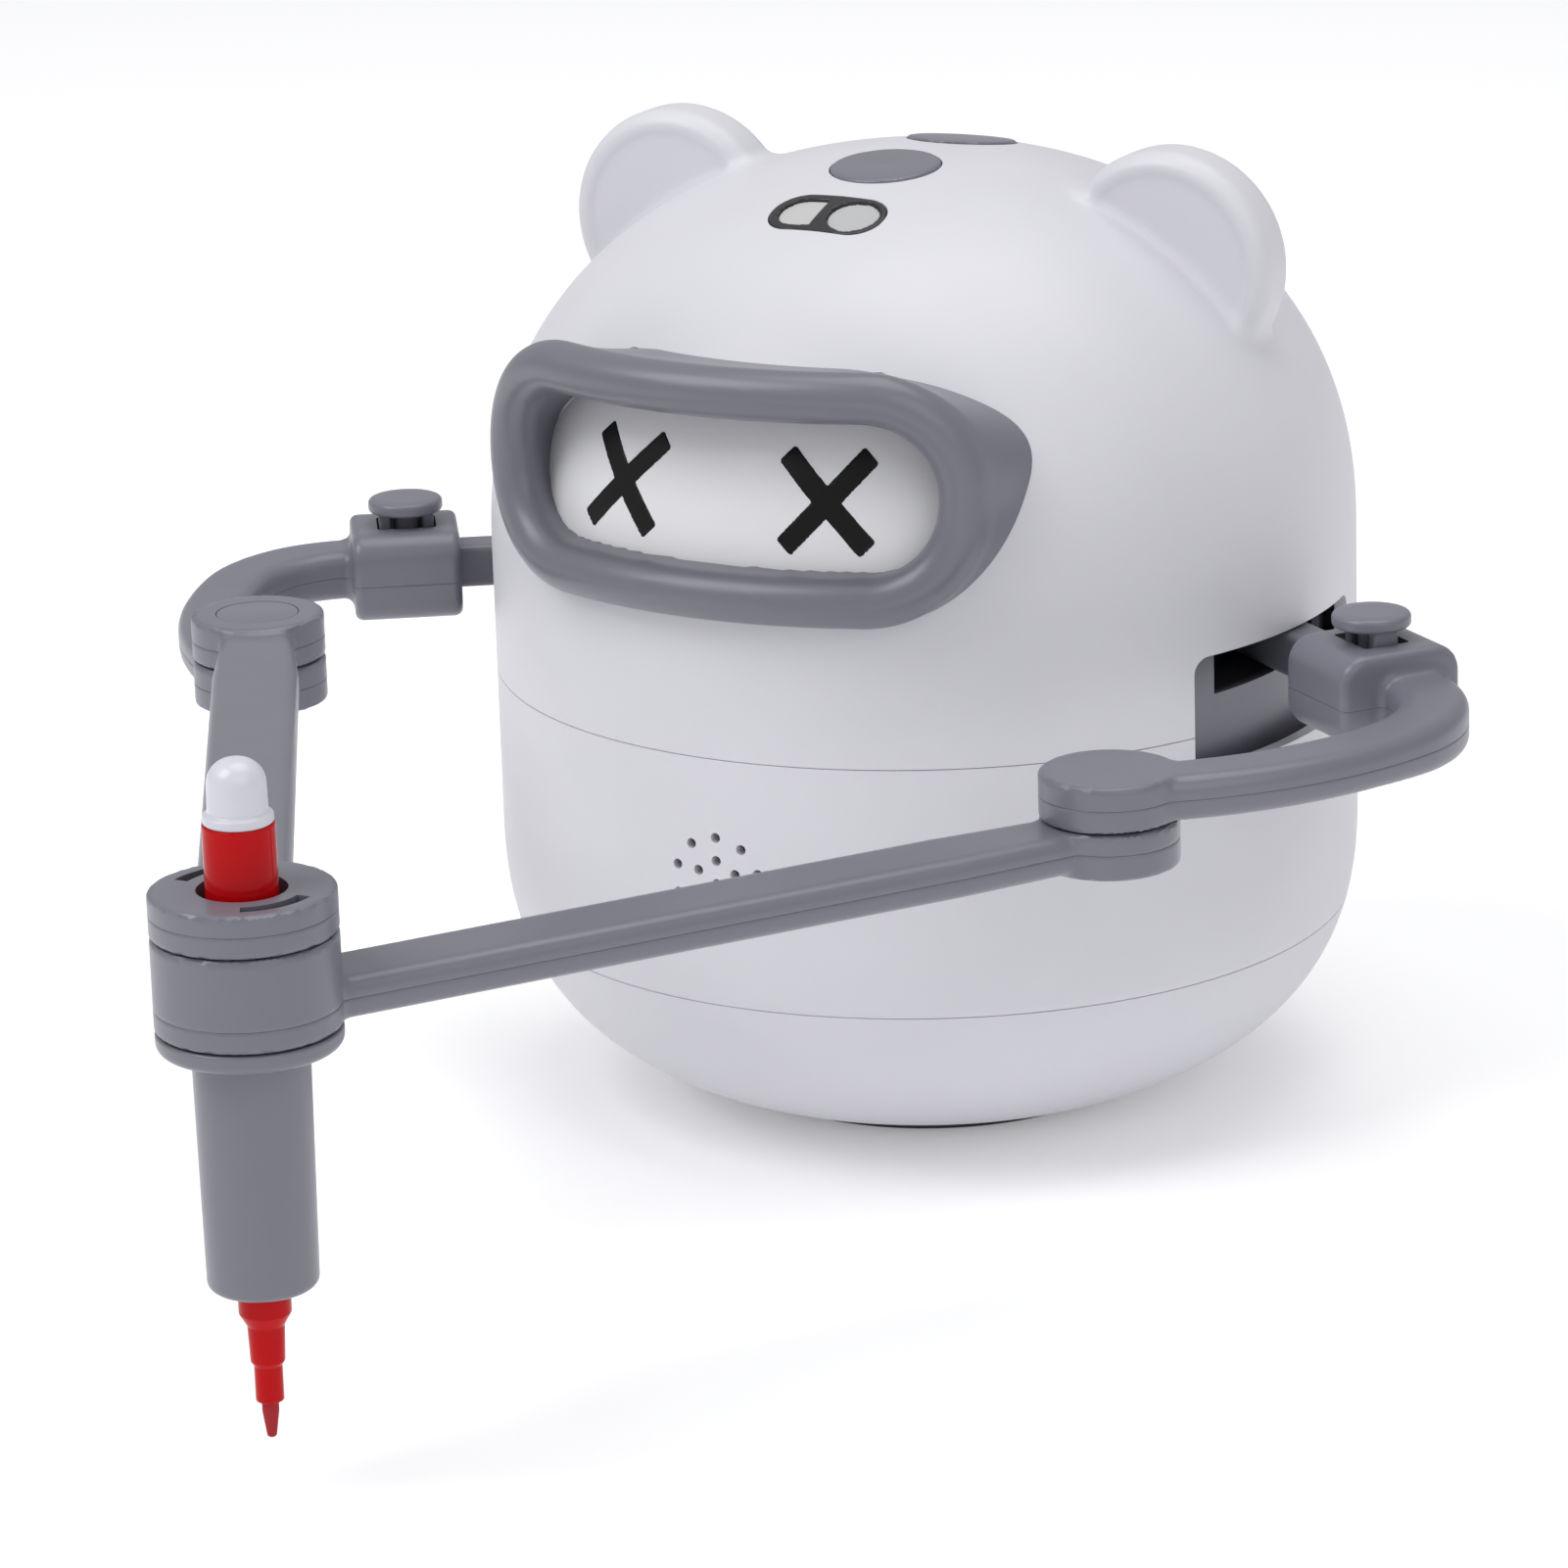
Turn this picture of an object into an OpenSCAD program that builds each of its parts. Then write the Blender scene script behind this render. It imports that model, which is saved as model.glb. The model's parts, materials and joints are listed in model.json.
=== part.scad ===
// Desktop drawing robot. A barrel body with bear ears holds an arm carriage
// that rises and falls, and two arms that form a five-bar linkage with a
// marker at its tip. Millimetres, +Z up, the robot faces -Y and its own left
// hand is at +X. The origin is on the body's axis, on the table it stands on.

/* [Shell] */
// Widest radius of the body
shell_r = 80.2; // [79:0.1:82]
// Height of the crown above the table, without the ears
crown_z = 176.7; // [174:0.1:180]
// Wall thickness of the moulded shells
wall = 2.4; // [2:0.1:2.8]
// Height of the seam between base and body
low_seam_z = 35.9; // [34:0.1:37]
// Height of the seam between body and head
high_seam_z = 82.7; // [81:0.1:84]
// Thickness of the rubber pad under the base
pad_h = 2.5; // [2:0.1:3]

/* [Face] */
// Width of the opening in the goggle frame
face_w = 84; // [80:1:86]
// Height of the opening in the goggle frame
face_h = 27; // [24:0.5:29]
// Height of the middle of the face above the table
face_z = 132.5; // [131:0.1:134]
// Width of the moulding round the opening
goggle_w = 9.2; // [8.8:0.1:10]
// Length of one bar of an eye mark
eye_bar = 22; // [17:0.5:22.5]
// Sideways angle of each eye from straight ahead
eye_angle = 15.7; // [14:0.1:17]

/* [Ears] */
// Radius of an ear
ear_r = 21; // [20:0.5:22]
// Distance of an ear's middle from the body's axis
ear_x = 51; // [50:0.5:53]
// Height of an ear's middle above the table
ear_z = 159.6; // [157:0.1:161]
// Thickness of an ear from front to back
ear_t = 12; // [11:0.5:14]

/* [Top] */
// Radius of the two buttons on the crown
top_button_r = 10.1; // [9:0.1:10.5]
// Place of the front button, forwards of the axis
front_button_y = 11; // [10.5:0.5:12]
// Place of the rear button, behind the axis
rear_button_y = 18.6; // [18:0.1:20]

/* [Arms] */
// Distance of each shoulder pivot from the middle
shoulder_x = 40; // [39:0.5:41]
// Distance of the shoulder pivots behind the axis
shoulder_y = 21.2; // [20.8:0.1:21.6]
// Height of the middle of the upper arms when raised
arm_z = 91.6; // [91:0.1:92]
// Forward slant of the arm stubs at rest
stub_slant = 34.6; // [34:0.1:36]
// Distance from a shoulder pivot to its release button
button_reach = 73.9; // [73.5:0.1:74.5]
// Elbow distance from the middle at rest
elbow_x = 85.9; // [85:0.1:87]
// Elbow distance in front of the body's axis at rest
elbow_y = 94.4; // [94:0.1:95]
// Distance of the marker in front of the body's axis at rest
pen_y = 228.7; // [226:0.1:230]
// Width of the upper arms
arm_w = 12.6; // [12:0.2:13.4]
// Width of the forearm links
link_w = 15.2; // [14:0.2:16]

/* [Holder and marker] */
// Outer radius of the ring, drum and flange of the pen holder
holder_r = 15.2; // [15:0.1:15.6]
// Outer radius of the marker's barrel
pen_r = 5.9; // [5.6:0.1:6]
// Height of the marker's tip when raised
pen_tip_z = 9.3; // [9.2:0.1:10]
// Height of the marker's upper end when raised
pen_top_z = 124.6; // [122:0.1:126]

/* [Hidden] */
$fn = 72;

// Plastic colours
white = "#dddbe2";
grey = "#8f9098";
black = "#1a1a1c";
red = "#c8141a";
steel = "#b8bcc2";
green = "#2f6b45";

// The outline of the shells: a bowl, a straight band and a dome
bowl_z = 54.5;
bowl_depth = 56;
bowl_power = 2.6;
dome_z = 106.5;
dome_power = 2.2;
curve_steps = 16;
seam_gap = 0.3;
pad_r = 36.8;
head_top_z = 190;

// The goggle frame and the face plate behind it
face_open_w = face_w + 6;
face_open_h = face_h + 10;
goggle_front_r = shell_r + 6.6;
goggle_edge = 3.2;
goggle_z = face_z - 0.5;
face_inset = 1.2;
face_plate_t = 2.2;
eye_proud = 0.35;
eye_bar_w = 3.9;
eye_z = face_z - 2.5;
eye_turn = 46;

// The windows in the sides, where the stubs come out
window_front_y = -34.2;
window_rear_y = 17.3;
window_low_z = 76;
window_top_z = 97.2;
window_corner_r = 3;

// The upper arm: two arcs that follow on from the stub
stub_w = 8.2;
sleeve_slack = 0.4;
// The square window in the sleeve's top that the release button stands in
button_well = [11.2, 9.2, 20];
stub_z = arm_z + 0.9;
sleeve_w = 24;
sleeve_h = 16.8;
sleeve_corner_r = 5;
sleeve_start = button_reach - 9.8;
sleeve_end = button_reach + 10.6;
arm_h = 8;
elbow_r = 12;
small_arc_r = 24.7;
large_arc_r = 73.1;
// The small arc is a little deeper than the rest of the arm
small_arc_h = 9.6;
elbow_hub = [elbow_x, -elbow_y];
shoulder = [shoulder_x, shoulder_y];
stub_dir = [cos(stub_slant), -sin(stub_slant)];
stub_side = [sin(stub_slant), cos(stub_slant)];
arc_start_reach = button_reach + 10;
arc_start_offset = 2.4;
// How far the small arc runs back into the end wall of the sleeve
arc_root_angle = 6;
// The large arc is a hair slimmer and starts inside the end of the small one
bend_step = 0.1;
bend_overlap = 0.8;
small_arc_centre = shoulder + arc_start_reach * stub_dir + (arc_start_offset - small_arc_r) * stub_side;
arc_turn_angle = -14;
arc_turn_dir = [cos(arc_turn_angle), sin(arc_turn_angle)];
large_arc_centre = small_arc_centre - (large_arc_r - small_arc_r) * arc_turn_dir;
to_elbow = elbow_hub - large_arc_centre;
arc_end_angle = atan2(to_elbow[1], to_elbow[0]);

// Heights of the levels that the arms, links and holder lie in
level_gap = 0.3;
arm_low_z = arm_z - arm_h / 2;
arm_top_z = arm_z + arm_h / 2;
disc_h = 8;
bar_h = 7;
upper_link_z = arm_top_z + level_gap;
lower_link_z = arm_low_z - level_gap - disc_h;
pin_r = 5;
pin_cap_r = 7.4;
pin_cap_h = 1.6;
// Room between a cap and the floor of its seat
cap_gap = 0.1;
running_fit = 0.05;
// Plastic left over the blind end of an elbow bore
pin_skin = 1.3;

// The pen holder
ring_h = 7.1;
drum_low_z = 80.1;
flange_h = 3.4;
flange_low_z = drum_low_z - level_gap - flange_h;
tube_low_z = 35.6;
tube_r = 9.6;
tube_draft = 0.5;
neck_r = 7.75;
drum_bore_r = 9.9;
ring_hole_r = 7.4;
pen_bore_r = pen_r + 0.3;
tube_floor = 2;
nose_hole_r = 4.7;

// The carriage and what it runs on
plate_z = 73;
plate_t = 3;
rod_x = 24;
rod_y = 30;
rod_r = 2.5;
rod_low_z = 38;
rod_top_z = 122;
deck_z = 38;
deck_t = 2.5;
deck_r = 73;
pinion_r = 8;
pinion_z = 54;
pinion_x = 1;
pinion_teeth = 16;
gear_y = 16;
gear_t = 6;
motor_w = 12;
motor_l = 23;
shield_r = 73;
shield_t = 1.4;
// The slot in the shield, as wide as the stub's swing
shield_slot_front_y = -22.8;
shield_slot_rear_y = 18.6;
shield_slot_h = 9.8;

// The node to show, or all of them

// ---- Shared shapes -------------------------------------------------------

// Half outline of the shells, moved inwards by inset
function shell_outline(inset) =
    let (r = shell_r - inset, up = crown_z - dome_z - inset, down = bowl_depth - inset)
    concat(
        [for (i = [0 : curve_steps]) let (a = 90 * i / curve_steps)
            [r * pow(sin(a), 2 / bowl_power), bowl_z - down * pow(cos(a), 2 / bowl_power)]],
        [for (i = [0 : curve_steps]) let (a = 90 * i / curve_steps)
            [r * pow(cos(a), 2 / dome_power), dome_z + up * pow(sin(a), 2 / dome_power)]]
    );

// Solid inside the outline, with a flat floor
module shell_solid(inset) {
    intersection() {
        rotate_extrude() polygon(shell_outline(inset));
        translate([0, 0, pad_h + inset]) cylinder(r = 2 * shell_r, h = 2 * crown_z);
    }
}

// The slice of the hollow shell between two heights
module shell_slice(low, high) {
    intersection() {
        difference() {
            shell_solid(0);
            shell_solid(wall);
        }
        translate([0, 0, low]) cylinder(r = 2 * shell_r, h = high - low);
    }
}

// Rectangle with round corners
module rounded_outline(w, h, r) {
    square([w - 2 * r, h], center = true);
    square([w, h - 2 * r], center = true);
    for (x = [-1, 1], y = [-1, 1])
        translate([x * (w / 2 - r), y * (h / 2 - r)]) circle(r);
}

// Long hole with round ends, cut from front_y backwards by depth
module face_prism(w, h, z, front_y, depth) {
    translate([0, front_y + depth, z])
        rotate([90, 0, 0]) linear_extrude(depth) rounded_outline(w, h, 0.49 * h);
}

// A copy on each side of the robot
module both_sides() {
    children();
    mirror([1, 0, 0]) children();
}

// ---- Shells --------------------------------------------------------------

module base_pad() color(black) cylinder(r = pad_r, h = pad_h);

screw_r = 1.5;
screw_head_r = 3;
screw_place = 26;

module at_screws() {
    for (x = [-1, 1], y = [-1, 1])
        translate([x * screw_place, y * screw_place, 0]) children();
}

module base_shell() color(white) difference() {
    shell_slice(pad_h, low_seam_z - seam_gap / 2);
    at_screws() {
        translate([0, 0, pad_h - 1]) cylinder(r = screw_head_r + 0.3, h = 2.2);
        cylinder(r = screw_r + 0.3, h = 10);
    }
}

module base_screws() color(steel) at_screws() {
    translate([0, 0, pad_h + 0.1]) cylinder(r = screw_head_r, h = 1);
    translate([0, 0, pad_h + 1]) cylinder(r = screw_r, h = 16);
}

module side_windows() {
    window_h = window_top_z - window_low_z;
    window_l = window_rear_y - window_front_y;
    both_sides()
        translate([shoulder_x, (window_front_y + window_rear_y) / 2, (window_top_z + window_low_z) / 2])
            rotate([90, 0, 90])
                linear_extrude(shell_r) rounded_outline(window_l, window_h, window_corner_r);
}

speaker_z = 59.5;
speaker_hole_r = 0.95;
speaker_rings = [[1, 0], [6, 4.3], [10, 8.6]];

module speaker_holes() {
    for (ring = speaker_rings, i = [1 : ring[0]])
        let (a = 90 + 360 * i / ring[0])
            translate([ring[1] * cos(a), -shell_r / 2, speaker_z + ring[1] * sin(a)])
                rotate([90, 0, 0]) cylinder(r = speaker_hole_r, h = shell_r, $fn = 24);
}

rear_panel_z = 50;
socket_x = 14;
switch_x = -14;
switch_slot_w = 10;

module body_shell() color(white) difference() {
    shell_slice(low_seam_z + seam_gap / 2, high_seam_z - seam_gap / 2);
    side_windows();
    speaker_holes();
    translate([socket_x, shell_r - 6, rear_panel_z])
        rotate([-90, 0, 0]) linear_extrude(10) rounded_outline(9.8, 4, 1.9);
    translate([switch_x, shell_r - 6, rear_panel_z])
        rotate([-90, 0, 0]) linear_extrude(10) rounded_outline(switch_slot_w, 4.4, 0.6);
}

ear_front_y = -3;
ear_round = 2.6;
ear_dish_r = 18.6;
ear_dish = 0.8;

// One ear: a thick disc with rounded rims and a dished front
module ear() {
    translate([ear_x, ear_front_y + ear_t, ear_z]) rotate([90, 0, 0]) difference() {
        rotate_extrude() intersection() {
            translate([0, ear_t / 2]) rounded_outline(2 * ear_r, ear_t, ear_round);
            translate([0, -1]) square([2 * ear_r, ear_t + 2]);
        }
        translate([0, 0, ear_t - ear_dish])
            cylinder(r1 = ear_dish_r - 2, r2 = ear_dish_r, h = ear_dish + 1);
    }
}

scanner_y = -33;
scanner_w = 22.6;
scanner_h = 11.6;

module scanner_prism(w, h, low) {
    translate([0, scanner_y, low]) linear_extrude(60) rounded_outline(w, h, 0.49 * h);
}

board_z = 158;
board_t = 1.6;
scanner_board_z = 156;
board_post_r = 2.5;

module board_posts() {
    intersection() {
        union() {
            for (x = [-16, 16])
                translate([x, 5.3, board_z + board_t + 0.1]) cylinder(r = board_post_r, h = 30);
            for (x = [-10, 10])
                translate([x, -25, scanner_board_z + board_t + 0.1]) cylinder(r = board_post_r, h = 30);
        }
        shell_solid(wall / 2);
    }
}

module head_shell() color(white) {
    difference() {
        union() {
            shell_slice(high_seam_z + seam_gap / 2, head_top_z);
            difference() {
                both_sides() ear();
                shell_solid(wall / 2);
            }
        }
        side_windows();
        face_prism(face_open_w, face_open_h, face_z, -2 * shell_r, 2 * shell_r);
        for (y = [-front_button_y, rear_button_y])
            translate([0, y, board_z]) cylinder(r = top_button_r + 0.3, h = 40);
        scanner_prism(scanner_w + 0.4, scanner_h + 0.4, board_z);
    }
    board_posts();
}

// ---- Face ----------------------------------------------------------------

// The moulding's front edge is rounded in three steps
module goggle_frame() color(grey) difference() {
    for (step = [0 : 3])
        let (back = goggle_edge * (1 - cos(30 * step)), side = goggle_edge * (1 - sin(30 * step)))
            intersection() {
                face_prism(face_w + 2 * (goggle_w - side), face_h + 2 * (goggle_w - side),
                    goggle_z, -2 * shell_r, 2 * shell_r);
                translate([0, 0, high_seam_z]) cylinder(r = goggle_front_r - back, h = 90, $fn = 120);
            }
    face_prism(face_w, face_h, face_z, -3 * shell_r, 3 * shell_r);
    shell_solid(-0.1);
    translate([-shell_r, 0, 0]) cube([2 * shell_r, 2 * shell_r, head_top_z]);
}

// The plate follows the head's curve, set in a little, behind the frame
module face_plate() color(white) difference() {
    intersection() {
        shell_solid(face_inset);
        face_prism(face_open_w - 0.8, face_open_h - 0.8, face_z, -2 * shell_r, 2 * shell_r);
    }
    shell_solid(face_inset + face_plate_t);
}

module eye_marks() color(black) difference() {
    intersection() {
        shell_solid(face_inset - eye_proud);
        for (side = [-1, 1]) rotate([0, 0, side * eye_angle])
            translate([0, -shell_r / 2, eye_z]) rotate([90, 0, 0]) linear_extrude(shell_r)
                for (turn = [-eye_turn, eye_turn])
                    rotate([0, 0, turn]) rounded_outline(eye_bar, eye_bar_w, 0.6);
    }
    shell_solid(face_inset);
}

// ---- Crown ---------------------------------------------------------------

button_skirt_z = 166.5;

module crown_button(y) {
    color(grey) {
        intersection() {
            translate([0, y, button_skirt_z + 1]) cylinder(r = top_button_r, h = 30);
            shell_solid(-0.4);
        }
        translate([0, y, button_skirt_z]) cylinder(r = top_button_r + 1.4, h = 2);
        translate([0, y, button_skirt_z - 1.6]) cylinder(r = 2.4, h = 2);
    }
}

module front_button() crown_button(-front_button_y);
module rear_button() crown_button(rear_button_y);

module button_board() {
    color(green) translate([-19, -22, board_z]) cube([38, 54, board_t]);
    for (y = [-front_button_y, rear_button_y]) translate([0, y, board_z + board_t]) {
        color(black) translate([-3, -3, 0]) cube([6, 6, 2.4]);
        color(steel) translate([0, 0, 2.4]) cylinder(r = 1.7, h = 1, $fn = 24);
    }
}

lens_x = 5.3;
lens_r = 4.85;
lamp_x = -5.6;
lamp_edge_x = -1.6;
scanner_rim = 1.7;
// The panes lie a little below the bezel's face, with a hair of room round them
pane_depth = 0.5;
pane_t = 1;
pane_gap = 0.05;

module lens_hole(r) {
    translate([lens_x, scanner_y, board_z]) cylinder(r = r, h = 40, $fn = 48);
}

module lamp_hole(grow) {
    inset = scanner_rim - grow;
    intersection() {
        scanner_prism(scanner_w - 2 * inset, scanner_h - 2 * inset, board_z);
        translate([-scanner_w, scanner_y - scanner_h, board_z])
            cube([scanner_w + lamp_edge_x + grow, 2 * scanner_h, 60]);
    }
}

// A sheet that follows the shells' outline, inset below it
module crown_sheet(inset, thickness) {
    difference() {
        shell_solid(inset);
        shell_solid(inset + thickness);
    }
}

module scanner_bezel() color(black) difference() {
    intersection() {
        crown_sheet(-0.1, 1.8);
        scanner_prism(scanner_w, scanner_h, board_z);
    }
    lens_hole(lens_r);
    lamp_hole(0);
}

module scanner_lens() color("#c9ced2") intersection() {
    crown_sheet(pane_depth, pane_t);
    lens_hole(lens_r - pane_gap);
}

module scanner_lamp_window() color("#d5d6d8") intersection() {
    crown_sheet(pane_depth, pane_t);
    lamp_hole(-pane_gap);
}

module scanner_board() {
    color(green) translate([-13, -43, scanner_board_z]) cube([26, 21, board_t]);
    color(black) translate([lens_x, scanner_y, scanner_board_z + board_t]) difference() {
        cylinder(r = 3.8, h = 9);
        translate([0, 0, 6]) cylinder(r = 2.6, h = 4);
    }
    color(white) translate([lamp_x - 2.5, scanner_y - 2.5, scanner_board_z + board_t]) cube([5, 5, 4]);
}

// ---- Inside the body -----------------------------------------------------

speaker_r = 18;
speaker_face_y = -74;

module speaker() translate([0, speaker_face_y, speaker_z]) rotate([-90, 0, 0]) {
    color(black) difference() {
        cylinder(r = speaker_r, h = 4);
        translate([0, 0, -1]) cylinder(r1 = 15, r2 = 8, h = 4);
    }
    color(steel) translate([0, 0, 4]) cylinder(r = 13, h = 5);
    color(steel) translate([0, 0, 9]) cylinder(r = 9, h = 5);
}

module speaker_bracket() color(black) difference() {
    translate([-21, speaker_face_y + 4.1, deck_z + deck_t]) cube([42, 2.4, 39]);
    translate([0, speaker_face_y + 2, speaker_z]) rotate([-90, 0, 0]) cylinder(r = 13.4, h = 10);
}

post_r = 4;
post_low_z = pad_h + wall + 0.3;
board_foot_x = 26;
board_feet_y = [-53, -23];
board_foot_h = 4;
rod_boss_r = 5.5;

module at_rods() {
    for (x = [-rod_x, rod_x]) translate([x, rod_y, 0]) children();
}

module chassis_deck() color(black) {
    difference() {
        union() {
            translate([0, 0, deck_z]) cylinder(r = deck_r, h = deck_t);
            at_screws() translate([0, 0, post_low_z]) cylinder(r = post_r, h = deck_z - post_low_z + 1);
            for (x = [-board_foot_x, board_foot_x], y = board_feet_y)
                translate([x, y, deck_z]) cylinder(r = 3, h = deck_t + board_foot_h);
            translate([pinion_x - 17, -11, deck_z])
                cube([motor_l, 20, pinion_z - motor_w / 2 - deck_z - 0.1]);
            at_rods() translate([0, 0, deck_z]) cylinder(r = rod_boss_r, h = 9);
        }
        at_screws() cylinder(r = screw_r + running_fit, h = 24);
        at_rods() translate([0, 0, rod_low_z]) cylinder(r = rod_r + running_fit, h = 40);
    }
}

module battery_pack() color("#3a5f9a") {
    for (y = [-10, 10]) translate([-34, y, 16.5]) rotate([0, 90, 0]) cylinder(r = 9.4, h = 68);
    translate([-34, -10, 8]) cube([68, 20, 3]);
}

module main_board() {
    board_low = deck_z + deck_t + board_foot_h;
    board_top = board_low + board_t;
    color(green) translate([-32, -58, board_low]) cube([64, 40, board_t]);
    color(black) translate([-8, -46, board_top]) cube([14, 14, 1.4]);
    color(black) translate([14, -50, board_top]) cube([8, 10, 1.2]);
    color(white) for (x = [-26 : 12 : 22]) translate([x, -24, board_top]) cube([8, 5, 6]);
    color(steel) translate([-24, -50, board_top]) cylinder(r = 3, h = 7);
}

module power_switch() color(black)
    translate([switch_x - switch_slot_w / 2 + 0.7, shell_r - 5, rear_panel_z - 1.9]) cube([4.6, 5.4, 3.8]);

module charging_socket() {
    color(steel) translate([socket_x, shell_r - 9, rear_panel_z]) rotate([-90, 0, 0]) {
        difference() {
            linear_extrude(7.4) rounded_outline(9, 3.3, 1.6);
            translate([0, 0, 1]) linear_extrude(7) rounded_outline(8.3, 2.6, 1.25);
        }
        translate([-3.2, -0.35, 0.5]) cube([6.4, 0.7, 5.6]);
    }
    color(green) translate([socket_x - 8, shell_r - 18, rear_panel_z - 3.2]) cube([16, 11.5, board_t]);
}

// ---- Lift ----------------------------------------------------------------

module guide_rods() color(steel) at_rods() translate([0, 0, rod_low_z])
    cylinder(r = rod_r, h = rod_top_z - rod_low_z);

module rod_bracket() color(black) difference() {
    translate([-rod_x - 8, rod_y - 7, rod_top_z - 5]) cube([2 * rod_x + 16, 14, 7]);
    at_rods() translate([0, 0, rod_top_z - 10]) cylinder(r = rod_r + running_fit, h = 10);
}

// A small gear motor with its ears, shaft up, centred on its shaft
module gear_motor(body_h, ear_low, boss_r, boss_h, bore_r) {
    color("#2a3a5c") difference() {
        union() {
            translate([-motor_w / 2, -motor_w / 2, 0]) cube([motor_w, motor_l, body_h]);
            translate([-motor_w / 2, -motor_w / 2 - 4.6, ear_low]) cube([motor_w, motor_l + 9.2, 2.4]);
            translate([0, 0, body_h]) cylinder(r = boss_r, h = boss_h);
        }
        translate([0, 0, body_h - 4]) cylinder(r = bore_r, h = boss_h + 5);
    }
}

module lift_motor() translate([pinion_x, -12, pinion_z]) rotate([-90, 90, 0])
    gear_motor(23.5, 17, 5.6, 2, rod_r + running_fit);

tooth_h = 1.8;
tooth_tip_w = 0.7;
tooth_root_w = 1.7;
tooth_pitch = 2 * PI * pinion_r / pinion_teeth;
gear_backlash = 0.35;

// Outline of one straight-sided tooth, standing on the line x = 0
module tooth(h) {
    root = tooth_root_w / 2;
    tip = tooth_tip_w / 2;
    polygon([[-0.3, -root], [h, -tip], [h, tip], [-0.3, root]]);
}

module lift_pinion() color(white) translate([pinion_x, gear_y, pinion_z]) rotate([-90, 0, 0]) {
    linear_extrude(gear_t) {
        circle(pinion_r - tooth_h / 2);
        for (i = [1 : pinion_teeth])
            rotate([0, 0, 360 * i / pinion_teeth]) translate([pinion_r - tooth_h / 2, 0]) tooth(tooth_h);
    }
    translate([0, 0, -8]) cylinder(r = rod_r, h = 8);
}

// The rack's teeth face the pinion, half a pitch out of step with it
module rack() {
    rack_x = pinion_x + pinion_r + tooth_h / 2 + gear_backlash;
    translate([rack_x, gear_y, 50]) cube([5, gear_t, plate_z - 50 + 1]);
    translate([rack_x, gear_y + gear_t, pinion_z]) rotate([90, 0, 0]) linear_extrude(gear_t)
        for (i = [-1 : 4]) translate([0, (i + 0.5) * tooth_pitch]) mirror([1, 0, 0]) tooth(tooth_h);
}

module carriage_frame() color(grey) difference() {
    union() {
        translate([-56, 3, plate_z]) cube([112, 38, plate_t]);
        at_rods() translate([0, 0, plate_z]) cylinder(r = rod_boss_r, h = 20);
        rack();
    }
    at_rods() translate([0, 0, plate_z - 1]) cylinder(r = rod_r + 0.08, h = 30);
    both_sides() translate([shoulder_x - motor_w / 2 - 0.3, shoulder_y - motor_w / 2 - 0.3, plate_z - 1])
        cube([motor_w + 0.6, motor_l + 0.6, plate_t + 2]);
}

module shoulder_motor() translate([shoulder_x, shoulder_y, plate_z - 14])
    gear_motor(25.5, 14 + plate_t + 0.1, 5.8, 1.8, rod_r + running_fit);
module left_shoulder_motor() shoulder_motor();
module right_shoulder_motor() mirror([1, 0, 0]) shoulder_motor();

// A sheet bent round the body's axis, between two radii
module bent_sheet(inner, outer) {
    difference() {
        cylinder(r = outer, h = head_top_z, $fn = 120);
        translate([0, 0, -1]) cylinder(r = inner, h = head_top_z + 2, $fn = 120);
    }
}

// A curved panel that closes the window behind the stub and rides with it
module shield() color(grey) {
    difference() {
        intersection() {
            bent_sheet(shield_r, shield_r + shield_t);
            translate([shoulder_x, -42, plate_z - 1]) cube([shell_r, 66, 34]);
        }
        translate([shoulder_x, shield_slot_front_y, stub_z - shield_slot_h / 2])
            cube([shell_r, shield_slot_rear_y - shield_slot_front_y, shield_slot_h]);
    }
    translate([50, 4, plate_z + plate_t + 0.1]) cube([21, 18, 2]);
}
module left_shield() shield();
module right_shield() mirror([1, 0, 0]) shield();

// ---- Arms ----------------------------------------------------------------

// Runs along the stub from its shoulder pivot, with x as the distance out
module along_stub() {
    translate([shoulder_x, shoulder_y, stub_z]) rotate([0, 0, -stub_slant]) children();
}

module stub() color(grey) {
    along_stub() {
        rotate([90, 0, 90]) linear_extrude(button_reach + 6) rounded_outline(stub_w, stub_w, 1.2);
        translate([0, 0, -4.8]) cylinder(r = 8, h = 9.6);
        translate([0, 0, -9.5]) cylinder(r = rod_r, h = 6);
    }
}
module left_stub() difference() {
    stub();
    along_stub() latch_slot();
}
module right_stub() mirror([1, 0, 0]) left_stub();

// The pocket in the stub that the release button's foot drops into
module latch_slot() {
    translate([button_reach, 0, 0]) cylinder(r = 2.9, h = 10);
}

// A sector of a ring, between two angles less than 180 degrees apart
module ring_sector(centre, r, w, from, to) {
    reach = 3 * r;
    mid = (from + to) / 2;
    translate(centre) intersection() {
        difference() {
            circle(r + w / 2, $fn = 180);
            circle(r - w / 2, $fn = 180);
        }
        polygon([[0, 0], for (a = [from, mid, to]) reach * [cos(a), sin(a)]]);
    }
}

// The two bends and the elbow disc
module arm_bar() {
    translate([0, 0, arm_z - small_arc_h / 2]) linear_extrude(small_arc_h)
        ring_sector(small_arc_centre, small_arc_r, arm_w, 90 - stub_slant + arc_root_angle, arc_turn_angle);
    translate([0, 0, arm_low_z]) linear_extrude(arm_h) {
        ring_sector(large_arc_centre, large_arc_r, arm_w - bend_step, arc_turn_angle + bend_overlap,
            arc_end_angle);
        translate(elbow_hub) circle(elbow_r);
    }
}

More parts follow.
